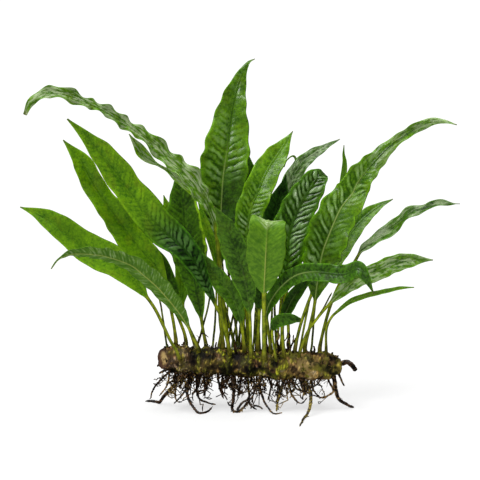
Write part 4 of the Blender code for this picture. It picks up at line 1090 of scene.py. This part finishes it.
# %% The relief of the bark
bark = Tree("bark_relief", {"Lump Height": 1.30, "Wrinkle Height": 0.65, "Grain Height": 0.26, "Seed": 4.0})
size = bark.size
shifted = bark.added(bark.place(), bark.vector(size["Seed"], 0.0, 0.0))
lumps = (bark.noise(shifted, 0.24, 2.0) - 0.5) * size["Lump Height"] * 1.6
stretched = bark.out("ShaderNodeVectorMath", {"operation": "MULTIPLY"}, {0: shifted, 1: (1.0, 0.45, 0.45)})
crease = abs(bark.noise(stretched, 0.62, 3.0, 0.6) - 0.5)
wrinkles = (crease * 4.0).at_most(1.0) * size["Wrinkle Height"]
grain = (bark.noise(shifted, 2.1, 3.0, 0.65) - 0.5) * size["Grain Height"] * 2.0
soft = 1.0 - bark.fact("cut") * 0.75
skin = bark.swollen(size["Geometry"], (lumps + wrinkles * soft + grain) * soft * MM)
bark.end(bark.stored(skin, "hollow", 1.0 - (crease * 5.0).at_most(1.0)))

# %% [markdown]
# ## The finish of the rhizome
#
# Old bark is nearly black, with olive and ochre where it is alive, a grey bloom low on the left that is
# partly a painted highlight, and a few pale patches: specks and a spot high on the right end that are
# painted highlights. The creases are painted dark as painted shade. Both ends are lighter. The cushions
# under the leaves are olive. The cut face is tan with a darker rim.

# %% The colours of the bark
bark_paint = Finish("rhizome_bark")
mixed, noise, here, read = bark_paint.mixed, bark_paint.noise, bark_paint.here, bark_paint.read
across, _, height = bark_paint.split(here)
cut, green, hollow, ring = (read(key) for key in ("cut", "green", "hollow", "ring"))
wide = noise(here, 120.0, 2.0, 0.5)
middle = noise(bark_paint.added(here, (0.3, 0.1, 0.2)), 130.0, 3.0, 0.55)
other = noise(bark_paint.added(here, (0.9, 0.4, 0.1)), 135.0, 3.0, 0.55)
fine = noise(here, 460.0, 4.0, 0.65)
grain = noise(bark_paint.added(here, (0.6, 0.2, 0.8)), 190.0, 2.0, 0.5) * 0.7 + fine * 0.3
gloom = noise(bark_paint.added(here, (0.2, 0.7, 0.4)), 105.0, 2.0, 0.55).rise(0.50, 0.60)
right_end = across.rise(0.012, 0.030)
left_end = 1.0 - across.rise(-0.034, -0.016)
alive = (wide.rise(0.42, 0.58) * 0.6 + green + across.rise(0.014, 0.030) * 0.6).at_most(1.0)
alive = alive * middle.rise(0.40, 0.54) * (height * (1.0 / MM)).rise(14.5, 18.5)
alive = (alive + green.rise(0.30, 0.80) * other.rise(0.36, 0.50) * 0.85).at_most(1.0)
bloom_and_painted_sheen = other.rise(0.42, 0.50) * (1.0 - other.rise(0.52, 0.58)) * left_end * 0.8
# Where a pale spot of painted highlight lies, high on the right end
highlight_spot = ((across - 0.0315) * (1.0 / MM)).hump(4.2) * ((height - 0.0240) * (1.0 / MM)).hump(3.4)

# %% The finish of the rhizome
BARK_LAYERS = [
    (alive, mixed(grain.rise(0.38, 0.62), (52, 56, 2), (184, 188, 36))),
    (other.rise(0.51, 0.60) * (0.45 + right_end * 0.55),
     mixed(grain.rise(0.38, 0.60), (84, 58, 24), (222, 180, 96))),
    (right_end * 0.24 + left_end * 0.17, mixed(grain.rise(0.36, 0.56), (44, 34, 14), (176, 146, 78))),
    # The grey bloom low on the left, partly a painted highlight
    (bloom_and_painted_sheen, (178, 148, 118)),
    # Pale specks are painted highlights
    (grain.rise(0.55, 0.64) * other.rise(0.48, 0.58) * 0.6, (222, 206, 168)),
    # The pale spot high on the right end is a painted highlight
    (highlight_spot * fine.rise(0.38, 0.56) * 0.9, (226, 188, 124)),
    # The creases are painted dark as painted shade
    (hollow.rise(0.12, 0.80) * (0.85 - right_end * 0.20 - left_end * 0.05), (7, 4, 3)),
    (gloom * (1.0 - green * 0.9) * (0.85 - right_end * 0.65 - left_end * 0.40), (13, 8, 8)),
]
colour = mixed(grain.rise(0.41, 0.58), (12, 8, 4), (160, 116, 70))
for share, paint in BARK_LAYERS:
    colour = colour.toward(share, paint)
face = mixed(middle.rise(0.50, 0.68), (98, 70, 44), (176, 150, 96))
face = face.toward(fine.rise(0.50, 0.62) * 0.7, (58, 38, 26)).toward(ring.rise(0.60, 0.95), (70, 46, 36))
bark_paint.feed(Base_Color=mixed(cut.rise(0.10, 0.70), colour, face), Roughness=0.48 + fine * 0.3,
                Normal=bark_paint.bump(fine + middle, 0.8, 0.0003), Specular_IOR_Level=0.14)
rhizome = grown("creeping_rhizome", rhizome_mesh(), bark, bark_paint, None, ["rhizome"], "rhizome")
print("rhizome faces:", len(rhizome.data.polygons))

# %% [markdown]
# ## The thick roots
#
# Each thick root is a wiry cord that leaves the underside of the rhizome. The routes are the same as in the
# solids. One tree turns any set of poly-lines into knobbly cords: it wanders a little off its line, tapers,
# stays above the floor and rounds off at its tip. A row holds a root's name, its place across the rhizome,
# its angle round it, its thickness in mm and its route.

# %% The thick roots
ROOTS = [
    ("right_thick", 47.3, 180, 2.4, [(47.5, 12, 0), (47.8, 8.8, 0), (49.6, 4.6, 0), (53.4, 1.9, 0),
     (57.2, 0, None)]),
    ("front_long", 32, -165, 1.9, [(35, 8, -6), (35, 1, -14), (32.5, -5, None), (29.5, -9.5, None)]),
    ("right_loop", 44.5, -170, 1.1, [(46.2, 10.5, -3), (46.6, 8, -3.5), (43.5, 5.9, -4.5), (40.5, 5.3, -5),
     (36.2, 6.5, -4)]),
    ("front_right", 22, -155, 1.7, [(20.5, 9, -5), (19, 4, -6), (18, -2, None)]),
    ("front_v", 25.5, -170, 1.2, [(25, 9, -3), (27, 5, -4), (30.5, 2.4, -4), (33.5, 5, -3)]),
    ("centre_loop", 10, -160, 1.3, [(10.5, 7.5, -4), (13.5, 1, -6), (17.5, -3.2, None), (21, -2.6, None)]),
    ("centre_hook", -4, -150, 1.6, [(-3.5, 9, -5), (-3.5, 4, -6), (-3.8, 0, -7), (-2, -2.4, None),
     (2, 0.5, -8), (6.5, 6, -7), (8, 10.5, -6.5)]),
    ("centre_short", 4, 180, 1.3, [(4.5, 6.5, 0), (5, 1.5, 0), (8.5, -1, None)]),
    ("left_loop", -25, -165, 1.7, [(-26.5, 8, -5), (-24, 1, -8), (-19.5, -3, None), (-15.5, -1, -8),
     (-13.5, 1, -7)]),
    ("left_inner", -22, 170, 1.3, [(-21, 6, 1), (-15.5, 2.6, 5), (-12, 1.6, None)]),
    ("left_thick", -28, 165, 2.2, [(-32.5, 12, 3), (-38, 6, 5), (-41, 2.3, None), (-44.5, 3, None),
     (-47.5, 3, None)]),
    ("left_arc_outer", -35, 150, 1.2, [(-41, 12.5, 8), (-44, 8, 12), (-45, 4.5, None)]),
    ("left_arc_inner", -35.5, -160, 1.1, [(-37, 10.5, -4), (-40.5, 6, -5)]),
    ("left_v", -31, 180, 1.1, [(-32.5, 7.5, 0), (-31.5, 3.5, -1), (-29, 3, -2)]),
    ("back_left", -20, 140, 1.6, [(-21, 11, 12), (-23, 8, 19), (-24, 6.8, None)]),
    ("back_centre", -3, 135, 1.5, [(-2, 11, 12), (0, 8.5, 20), (2, 7.5, None)]),
    ("back_right", 30, 140, 1.6, [(31, 11, 12), (33, 8, 19), (36, 6.6, None)]),
    ("mat_left_outer", -16, 175, 1.2, [(-16.5, 11, -1), (-18, 6, -3)]),
    ("mat_left_inner", -11, -160, 1.2, [(-10, 10, -4), (-8, 4.5, -4)]),
    ("mat_centre_left", -8.5, 160, 1.2, [(-9, 10, 5), (-6.5, 4, 8)]),
    ("mat_centre", 0.5, 175, 1.2, [(0, 10, 2), (-1.5, 5, 2)]),
    ("mat_centre_right", 14.5, 170, 1.2, [(15.5, 10, 3), (14, 4, 6)]),
    ("mat_right_inner", 18.5, 150, 1.2, [(19.5, 9.5, 10), (22, 5, 15)]),
    ("mat_right_outer", 36, 165, 1.2, [(37, 9, 4), (40, 5, 9)]),
]
HORN_THICK = 2.6
HORN_ROUTE = [(51.6, 22.6, 0), (53.8, 23.0, -1), (56.2, 21.2, -2), (58.0, 18.5, -2.5)]
HORN_START = 0.985
HORN_TIP_SHARE = 0.85
ROOT_SINK = 0.0012
ROOT_BASE_LENGTH = 0.0015
ROOT_TIP_SHARE = 0.45
TIP_SHARES = {"front_long": 0.25}


def line_mesh(name, lines, thicks):
    """Poly-lines as loose edges, each point with its cord's radius."""
    points, edges, radii = [], [], []
    for line, thick in zip(lines, thicks):
        first = len(points)
        points.extend(line.tolist())
        radii.extend([thick] * len(line))
        edges.extend((first + k, first + k + 1) for k in range(len(line) - 1))
    mesh = bpy.data.meshes.new(name)
    mesh.from_pydata(points, edges, [])
    mesh.attributes.new("thick", "FLOAT", "POINT").data.foreach_set("value", np.array(radii, np.float32))
    return mesh


# %% The tree for cords
cord = Tree("root_cord", {"Tip Share": ROOT_TIP_SHARE, "Wander": 0.60, "Knob Height": 0.46, "Step": 0.24,
                          "Sides": 10, "Seed": 1.0})
size = cord.size
shift = cord.vector(size["Seed"], 0.0, 0.0)
curve = cord.out("GeometryNodeMeshToCurve", None, {"Mesh": size["Geometry"]})
curve = cord.out("GeometryNodeResampleCurve", {"mode": "LENGTH"},
                 {"Curve": curve, "Length": size["Step"] * MM})
way = cord.out("GeometryNodeSplineParameter")
radius = cord.fact("thick") * (1.0 - (1.0 - size["Tip Share"]) * way ** 1.5)
sway = cord.noise(cord.added(cord.place(0.16), shift), 1.0, 1.0, output="Color")
sway = cord.added(sway, (-0.5, -0.5, -0.5))
curve = cord.moved(curve, cord.scaled(sway, size["Wander"] * 2.0 * MM * way.rise(0.03, 0.25)))
curve = cord.stored(cord.above_floor(curve, radius), "way", way)
tip = (1.0 - (way - 0.96).at_least(0.0) * 25.0).at_least(0.02) ** 0.5
knobs = cord.noise(cord.added(cord.place(), shift), 1.0, 2.0, 0.6) - 0.45
cords = cord.swollen(cord.tube(curve, radius * tip), knobs * size["Knob Height"] * 2.0 * MM)
cord.end(cord.above_floor(cords))

# %% [markdown]
# ## The finish of the roots
#
# The roots are dark brown, almost black where they are thick, and a few are ochre or olive. The colour of a
# place comes from noise at three sizes, so no two roots look alike.


# %% The finish of the roots
def root_finish(name, darkest, brown, ochre, ochre_share):
    """The finish of one kind of root, from three colours and how much of it is ochre."""
    paint = Finish(name)
    wide = paint.noise(paint.here, 70.0, 2.0, 0.5)
    middle = paint.noise(paint.here, 700.0, 3.0, 0.6)
    fine = paint.noise(paint.here, 2600.0, 2.0, 0.6)
    spots = (wide + (middle - 0.5) * 0.9).rise(0.68 - ochre_share, 0.80 - ochre_share)
    colour = paint.mixed(middle.rise(0.42, 0.72), darkest, brown).toward(spots, ochre)
    paint.feed(Base_Color=colour, Roughness=0.22 + fine * 0.3, Normal=paint.bump(fine + middle, 0.7, 0.00016),
               Specular_IOR_Level=0.40)
    return paint


dark_root = root_finish("dark_root", (7, 4, 2), (90, 60, 32), (140, 110, 60), 0.08)
ochre_root = root_finish("ochre_root", (26, 18, 6), (98, 82, 24), (160, 142, 54), 0.14)
mat_root = root_finish("mat_root", (9, 5, 3), (104, 72, 40), (146, 120, 66), 0.10)
OCHRE_ROOTS = ("front_long", "front_right", "centre_short")

# %% Grow the thick roots
root_lines = {}
for number, (name, across, angle, thick, route) in enumerate(ROOTS):
    out = outward(angle)
    skin = on_stem(across, out)
    line = line_through([skin - out * ROOT_SINK, skin + out * ROOT_BASE_LENGTH] + places(route))
    root_lines[name] = line
    grown(name + "_cord_root", line_mesh("root_" + name, [line], [thick / 2.0 * MM]), cord,
          ochre_root if name in OCHRE_ROOTS else dark_root,
          {"Seed": 5.0 * number, "Tip Share": TIP_SHARES.get(name, ROOT_TIP_SHARE)}, ["root_" + name])
horn_line = line_through([stem_path.at(np.array(HORN_START))] + places(HORN_ROUTE))
grown("right_horn_cord_root", line_mesh("root_right_horn", [horn_line], [HORN_THICK / 2.0 * MM]), cord,
      dark_root, {"Tip Share": HORN_TIP_SHARE, "Wander": 0.2, "Sides": 12}, ["root_right_horn"])
print("thick roots:", len(ROOTS) + 1)

# %% [markdown]
# ## The mat of fine roots
#
# Between the thick roots hangs a loose mat of feeder roots, with finer hairs on all of them. Each is a short
# line that starts somewhere, heads some way, and bends as it goes. The places come from a fixed seed, and
# one tree grows the lines: it puts one straight line on every point, then bends each by noise and weight.

# %% The tree for fine roots
thread = Tree("fine_root", {"Points": 12, "Sides": 5, "Bend": 1.15, "Sag": 0.25, "Bend Size": 2.0,
                            "Tip Share": 0.45, "Knob Height": 0.22, "Seed": 2.0})
size, added, scaled = thread.size, thread.added, thread.scaled
starts = thread.out("GeometryNodeMeshToPoints", None, {"Mesh": size["Geometry"]})
straight = thread.out("GeometryNodeCurvePrimitiveLine", None,
                      {"Start": (0.0, 0.0, 0.0), "End": (0.0, 0.0, MM)})
straight = thread.out("GeometryNodeResampleCurve", {"mode": "COUNT"},
                      {"Curve": straight, "Count": size["Points"]})
lines = thread.out("GeometryNodeInstanceOnPoints", None, {"Points": starts, "Instance": straight})
lines = thread.out("GeometryNodeRealizeInstances", None, {"Geometry": lines})
way = thread.out("GeometryNodeSplineParameter")
start, aim = thread.fact("start", "FLOAT_VECTOR"), thread.fact("aim", "FLOAT_VECTOR")
length = thread.fact("length")
track = added(scaled(start, 0.9 / MM), scaled(aim, way * length / size["Bend Size"] / MM))
track = added(track, thread.vector(size["Seed"], 0.0, 0.0))
sway = added(thread.noise(track, 1.0, output="Color"), (-0.5, -0.5, -0.5))
bend = scaled(sway, way * length * size["Bend"] * 2.0)
sag = thread.vector(0.0, 0.0, way * way * length * size["Sag"] * -1.0)
lines = thread.put_at(lines, added(added(start, scaled(aim, way * length)), added(bend, sag)))
radius = thread.fact("thick") * (1.0 - (1.0 - size["Tip Share"]) * way)
threads = thread.tube(thread.above_floor(lines, radius), radius)
knobs = (thread.noise(thread.place(), 1.1, 2.0, 0.6) - 0.45) * size["Knob Height"] * 2.0 * MM
thread.end(thread.above_floor(thread.swollen(threads, knobs)))


# %% Points that grow into fine roots
class Group:
    """Fine roots of one kind: where they start and head, their lengths and their radii."""

    def __init__(self):
        self.facts = {"start": [], "aim": [], "length": [], "thick": []}

    def add(self, start, aim, length, thick):
        """One more root."""
        for rows, value in zip(self.facts.values(), (start, aim / np.linalg.norm(aim), length, thick)):
            rows.append(value)

    def add_side_root(self, start, length, thick):
        """A side root that heads anywhere, but down rather than up."""
        self.add(start, dice.normal(0.0, 1.0, 3) + np.array([0.0, 0.0, -0.35]), length, thick)

    def point_at(self, index, way):
        """The place a share of the way along a root, as if it were straight."""
        start, aim, length = (self.facts[key][index] for key in ("start", "aim", "length"))
        return start + aim * length * way

    def mesh(self, name):
        """A point for each root, with its facts."""
        mesh = point_mesh(name, self.facts["start"])
        for key, rows in self.facts.items():
            data = np.asarray(rows, np.float32)
            kind, field = ("FLOAT_VECTOR", "vector") if data.ndim == 2 else ("FLOAT", "value")
            mesh.attributes.new(key, kind, "POINT").data.foreach_set(field, data.ravel())
        return mesh


def point_mesh(name, points):
    """A mesh of loose points."""
    mesh = bpy.data.meshes.new(name)
    mesh.from_pydata(np.asarray(points).tolist(), [], [])
    return mesh


# %% Feeder roots and hairs
FEEDERS = 80
FEEDER_SPAN = (-33.0, 41.0)
TWIGS_PER_FEEDER = 4
TWIGS_PER_ROOT = 3
HAIRS = 260
FEEDER_SINK = 0.0006
FEEDER_LENGTHS, FEEDER_RADII = (0.0055, 0.0138), (0.00026, 0.00050)
TWIG_LENGTHS, TWIG_RADII = (0.0012, 0.0042), (0.00017, 0.00034)
ROOT_TWIG_LENGTHS, ROOT_TWIG_RADII = (0.0012, 0.0034), (0.00016, 0.00030)
HAIR_LENGTHS, HAIR_RADII = (0.0015, 0.0040), (0.00008, 0.00013)
dice = np.random.default_rng(11)
feeders, twigs, hairs = Group(), Group(), Group()
for across in FEEDER_SPAN[0] + (FEEDER_SPAN[1] - FEEDER_SPAN[0]) * dice.uniform(0.0, 1.0, FEEDERS) ** 1.35:
    out = outward(dice.uniform(125.0, 235.0))
    aim = out * dice.uniform(0.5, 1.0) + np.array([dice.normal(0.0, 0.55), dice.normal(0.0, 0.3), -0.55])
    start = on_stem(across, out) - out * FEEDER_SINK
    feeders.add(start, aim, dice.uniform(*FEEDER_LENGTHS), dice.uniform(*FEEDER_RADII))
for index in range(FEEDERS):
    for way in dice.uniform(0.1, 0.8, TWIGS_PER_FEEDER):
        start = feeders.point_at(index, way)
        twigs.add_side_root(start, dice.uniform(*TWIG_LENGTHS), dice.uniform(*TWIG_RADII))
for line in root_lines.values():
    for index in dice.integers(4, LINE_POINTS - 12, TWIGS_PER_ROOT):
        twigs.add_side_root(line[index], dice.uniform(*ROOT_TWIG_LENGTHS), dice.uniform(*ROOT_TWIG_RADII))
for index in dice.integers(0, FEEDERS, HAIRS):
    start = feeders.point_at(index, dice.uniform(0.2, 0.9))
    hairs.add_side_root(start, dice.uniform(*HAIR_LENGTHS), dice.uniform(*HAIR_RADII))
grown("feeder_roots", feeders.mesh("feeder_roots"), thread, mat_root, {"Points": 22, "Sides": 7})
grown("root_twigs", twigs.mesh("root_twigs"), thread, mat_root,
      {"Points": 10, "Sides": 5, "Bend Size": 1.4, "Knob Height": 0.14})
grown("root_hairs", hairs.mesh("root_hairs"), thread, ochre_root,
      {"Points": 8, "Sides": 3, "Bend Size": 1.5, "Knob Height": 0.0})
print("fine roots:", FEEDERS, "feeders,", len(twigs.facts["start"]), "twigs and", HAIRS, "hairs")

# %% [markdown]
# ## Side roots that show alone
#
# A few branches stand clear of the mat: a short one beside the thick root on the right, one that points left
# from the cut end, and a few between. They are cords like the thick roots. A row holds a root's radius in
# mm and its route.

# %% Side roots that show alone
SIDE_ROOTS = [
    (0.60, [(48.5, 19.0, 1), (50.0, 16.0, 1), (51.2, 13.0, 1), (52.3, 11.0, 1)]),
    (0.85, [(-34.0, 20.0, -2), (-37.0, 19.2, -3), (-39.0, 18.0, -3.5), (-40.5, 17.3, -4)]),
    (0.50, [(-27.0, 9.5, -2), (-29.5, 6.0, -3), (-32.2, 2.9, -4), (-33.0, 2.0, -4)]),
    (0.45, [(-3.8, 2.0, -7.5), (-5.2, 1.4, -8), (-6.3, 3.0, -8)]),
    (0.50, [(7.5, 1.2, -5), (9.6, 0.8, -6), (11.5, -0.6, -7)]),
    (0.60, [(-1.5, -1.0, -9), (1.0, 2.5, -8), (3.8, 4.2, -7), (6.0, 8.0, -6)]),
    (0.50, [(42.0, 17.0, -4), (38.5, 12.0, -5), (34.5, 9.5, -6), (32.0, 7.8, -6)]),
    (0.55, [(26.0, 14.0, -4), (28.5, 9.5, -5), (31.5, 8.4, -5), (33.5, 6.2, -5)]),
]
grown("side_roots", line_mesh("side_roots", [line_through(places(route)) for _, route in SIDE_ROOTS],
                              [thick * MM for thick, _ in SIDE_ROOTS]), cord, dark_root,
      {"Tip Share": 0.5, "Wander": 0.4, "Knob Height": 0.34, "Sides": 8, "Seed": 90.0})

# %% [markdown]
# ## Crumbs in the mat
#
# Bits of old root and peat cling to the mat, and make it look knotted. Each is a small ball of few faces,
# turned and stretched at random. They sit on points along the feeder roots, and noise dents them together.

# %% Crumbs in the mat
crumb = Tree("crumbs", {"Crumb Radius": 0.42, "Dent": 0.5, "Seed": 3})
size = crumb.size
ball = crumb.out("GeometryNodeMeshIcoSphere", None, {"Radius": size["Crumb Radius"] * MM, "Subdivisions": 2})
stretch = crumb.random_vector((0.35, 0.35, 0.6), (1.1, 1.1, 2.2))
twist = crumb.random_vector((-0.6, -0.6, 0.0), (0.6, 0.6, 6.28))
points = crumb.out("GeometryNodeMeshToPoints", None, {"Mesh": size["Geometry"]})
balls = crumb.out("GeometryNodeInstanceOnPoints", None,
                  {"Points": points, "Instance": ball, "Rotation": twist, "Scale": stretch})
balls = crumb.out("GeometryNodeRealizeInstances", None, {"Geometry": balls})
dent = (crumb.noise(crumb.place(), 1.7, 2.0, 0.6) - 0.5) * size["Dent"] * 2.0 * MM
crumb.end(crumb.above_floor(crumb.swollen(balls, dent)))

CRUMBS = 110
CRUMB_SPREAD = 0.0006
CLUMP_SPREAD = 0.0005
CLUMPED_ROOTS = {"centre_hook": 60, "centre_short": 16, "front_right": 14, "mat_centre": 16,
                 "mat_left_inner": 16, "left_thick": 10}
picks = dice.integers(0, FEEDERS, CRUMBS)
crumb_places = [feeders.point_at(index, way) for index, way in zip(picks, dice.uniform(0.0, 0.9, CRUMBS))]
crumb_places = [crumb_places + dice.normal(0.0, CRUMB_SPREAD, (CRUMBS, 3))]
for name, count in CLUMPED_ROOTS.items():
    clump = root_lines[name][dice.integers(6, LINE_POINTS - 6, count)]
    crumb_places.append(clump + dice.normal(0.0, CLUMP_SPREAD, (count, 3)))
grown("mat_crumbs", point_mesh("mat_crumbs", np.vstack(crumb_places)), crumb, mat_root)

# %% [markdown]
# ## Old stalks and scales on top of the rhizome
#
# Where leaves have died, thin dark stalks still stand between the living ones, and small brown scales cover
# the bark at their feet. The dead stalks are cords like the roots. The scales are one small curved leaflet,
# put on points spread over the top of the bark, and turned outward. A row of a stalk holds its place across
# the rhizome, its angle round it, its radius in mm and its route.

# %% Dead stalks
DEAD_STALKS = [
    (19.5, -10, 0.70, [(19.0, 31, -1), (18.5, 33.5, -1.5), (19.5, 36, -2), (18.8, 38.5, -2)]),
    (21.0, 20, 0.60, [(21.2, 32, 3), (21.8, 35, 3.5), (21.0, 38, 4)]),
    (21.0, 20, 0.40, [(21.4, 32.5, 3), (23.2, 34.5, 3), (23.8, 37.5, 3.2)]),
    (24.0, 0, 0.75, [(24.3, 30, 0), (23.9, 32.5, 0), (25.0, 35.5, 0), (24.6, 38, 0)]),
    (24.5, 25, 0.55, [(25.5, 30.5, 4), (26.5, 33, 4), (26.8, 36.5, 4)]),
    (17.5, 10, 0.55, [(17.3, 31.5, 1), (16.3, 33.5, 1), (16.9, 36, 1)]),
    (-20.5, 15, 0.40, [(-21.0, 33, 2), (-20.0, 36, 2), (-18.2, 37.2, 1), (-15.8, 35.4, 0)]),
    (-20.5, 15, 0.30, [(-21.0, 33, 2), (-20.6, 35, 2), (-21.8, 36.4, 2)]),
    (-12.0, 20, 0.60, [(-12.3, 31, 3), (-12.0, 33, 3)]),
    (-27.5, 30, 0.70, [(-27.8, 31, 4), (-28.2, 33, 4.4)]),
    (27.5, 30, 0.65, [(27.8, 30, 4), (27.4, 33, 4.4), (28.0, 35, 4.8)]),
    (-2.0, -20, 0.6, [(-2.3, 31, -2), (-2.8, 33, -2.5)]),
    (8.0, 30, 0.65, [(8.0, 31, 4), (8.6, 33.5, 4.4)]),
    (0.5, -10, 0.55, [(0.4, 30.5, -1.5), (1.2, 33.5, -2)]),
    (14.0, -15, 0.6, [(13.6, 30.5, -2), (13.0, 33, -2.5)]),
    (37.0, 20, 0.7, [(37.2, 29, 3), (36.7, 31, 3.4)]),
]
STALK_SINK = 0.001


def stalk_mesh(name, rows):
    """The lines of stalks that grow from the rhizome, from just inside the bark to their tips."""
    lines = []
    for across, angle, thick, route in rows:
        out = outward(angle)
        lines.append(line_through([on_stem(across, out) - out * STALK_SINK] + places(route)))
    return line_mesh(name, lines, [row[2] * MM for row in rows])


grown("dead_stalks", stalk_mesh("dead_stalks", DEAD_STALKS), cord, dark_root,
      {"Tip Share": 0.5, "Wander": 0.5, "Knob Height": 0.3, "Step": 0.25, "Sides": 7})

# %% [markdown]
# ## Thin stalks behind
#
# Behind the thirty leaves stand more thin stalks, whose blades are hidden or lost. They are cords with
# hardly any wander, in a mottled green.

# %% Thin stalks behind
THIN_STALKS = [
    (-37.0, 40, 0.55, [(-38.2, 42, 8), (-39.8, 52.4, 10), (-42.0, 62, 11), (-46.0, 72, 12)]),
    (-22.5, 45, 0.60, [(-21.0, 32, 8), (-18.0, 43, 9), (-15.5, 53, 10), (-13.5, 66, 10.5)]),
    (-14.0, 50, 0.60, [(-13.5, 32.5, 9), (-12.6, 42, 11), (-12, 52, 12), (-11.5, 68, 13)]),
    (-6.0, 60, 0.65, [(-6.8, 38, 12), (-8.4, 48, 14), (-10, 57, 16), (-13, 72, 18)]),
    (-6.5, 25, 0.55, [(-6.2, 38, 6), (-6.2, 50, 7), (-5.5, 64, 7.5), (-4.5, 76, 8)]),
    (-6.2, 30, 0.60, [(-5.5, 36, 7), (-3, 48, 8.5), (-0.5, 60, 9.5), (1.0, 72, 10)]),
    (-4.2, 20, 0.55, [(-3.7, 33, 4), (-1.3, 45, 5), (0.5, 58, 5.5)]),
    (1.0, 35, 0.70, [(1.1, 33, 8), (2.0, 45, 9.5), (2.4, 58, 11), (2.6, 72, 12)]),
    (6.6, 15, 0.60, [(6.9, 34, 3), (7.6, 46, 3.5), (8.0, 58, 3.0)]),
    (10.5, 60, 0.60, [(9.8, 33, 11), (9.2, 46, 15), (9.8, 60, 18), (10.5, 76, 20)]),
    (-8.8, 45, 0.70, [(-8.6, 34, 8), (-8.2, 46, 10), (-8.0, 60, 12), (-9.0, 74, 13)]),
    (-1.0, 45, 0.75, [(-1.4, 33, 7), (-2.4, 44, 9), (-4.5, 58, 11), (-6.0, 70, 12)]),
    (0.2, 60, 0.70, [(-0.3, 34, 10), (0.6, 46, 12), (1.5, 58, 13), (2.2, 70, 14)]),
    (2.8, 45, 0.70, [(2.7, 34, 8), (1.4, 46, 10), (0.2, 58, 12), (-1.0, 72, 13)]),
    (8.0, 50, 0.75, [(8.2, 34, 9), (8.6, 46, 11), (9.4, 60, 13), (10.0, 72, 14)]),
    (13.2, 55, 0.70, [(13.0, 34, 10), (12.6, 46, 13), (12.2, 60, 15), (12.0, 72, 16)]),
    (15.2, 50, 0.65, [(15.4, 34, 9), (15.8, 44, 11), (16.4, 56, 13), (17.5, 70, 15)]),
    (18.2, 55, 0.65, [(18.0, 33, 10), (17.5, 43, 12.5), (17.3, 56, 15), (17.5, 72, 18)]),
    (20.5, 60, 0.60, [(20.6, 34, 12), (20.9, 44, 14.5), (21.4, 58, 18), (21.6, 72, 21)]),
    (25.2, 60, 0.60, [(24.6, 33, 12), (23.8, 43, 14), (23.4, 56, 17), (23.6, 70, 19)]),
    (29.5, 25, 0.55, [(30.6, 31, 4), (33.0, 36.5, 5), (36.5, 42, 6.5), (41.5, 49.5, 8.5), (46, 58, 10)]),
    (35.5, 50, 0.60, [(36.0, 32, 9), (37.0, 46, 11), (38.6, 60, 13), (41, 74, 14.5)]),
]
thin_paint = root_finish("thin_stalk_green", (50, 60, 5), (124, 142, 20), (150, 160, 38), 0.12)
grown("thin_stalks", stalk_mesh("thin_stalks", THIN_STALKS), cord, thin_paint,
      {"Tip Share": 0.7, "Wander": 0.25, "Knob Height": 0.06, "Step": 1.0, "Sides": 8}, slot="leaf")

# %% Scales
SCALE_THICKNESS = 0.00006
scale = Tree("bark_scales", {"Scale Length": 1.15, "Scale Width": 0.42, "Density": 170000.0, "Seed": 5})
size = scale.size
blank = scale.out("GeometryNodeMeshGrid", None,
                  {"Size X": 1.0, "Size Y": 1.0, "Vertices X": 5, "Vertices Y": 3})
u, v, _ = scale.split(scale.out("GeometryNodeInputPosition"))
u = u + 0.5
narrow = (u * math.pi * 0.94 + 0.19).sine()
leaflet = scale.vector(v * narrow * size["Scale Width"] * 2.0 * MM,
                       (abs(v) * 0.25 - u * u * 0.35) * size["Scale Width"] * MM,
                       u * size["Scale Length"] * MM)
blank = scale.put_at(blank, leaflet)
blank = scale.out("GeometryNodeExtrudeMesh", {"mode": "FACES"},
                  {"Mesh": blank, "Offset Scale": SCALE_THICKNESS, "Individual": False})
density = size["Density"] * (scale.fact("turned_up") + 0.12)
spread = scale.node("GeometryNodeDistributePointsOnFaces", {"distribute_method": "RANDOM"},
                    {"Mesh": size["Geometry"], "Density": density, "Seed": size["Seed"]})
sway = scale.random_vector((-0.9, -0.9, -0.3), (0.9, 0.9, 1.2))
heading = scale.added(spread.outputs["Normal"], sway)
turned = scale.out("FunctionNodeAlignRotationToVector", {"axis": "Z"}, {"Vector": heading})
bigness = scale.out("FunctionNodeRandomValue", {"data_type": "FLOAT"},
                    {"Min": 0.5, "Max": 1.5, "Seed": size["Seed"]}, "Value")
leaflets = scale.out("GeometryNodeInstanceOnPoints", None,
                     {"Points": spread.outputs["Points"], "Instance": blank, "Rotation": turned,
                      "Scale": bigness})
scale.end(leaflets)

bark_copy = rhizome.data.copy()
normals = np.zeros(len(bark_copy.vertices) * 3, np.float32)
bark_copy.vertices.foreach_get("normal", normals)
turned_up = np.clip(normals.reshape(-1, 3)[:, 2], 0.0, 1.0) ** 2
bark_copy.attributes.new("turned_up", "FLOAT", "POINT").data.foreach_set("value", turned_up)
scales = grown("bark_scales", bark_copy, scale, dark_root, slot="rhizome")
print("faces in the scales:", len(scales.data.polygons))
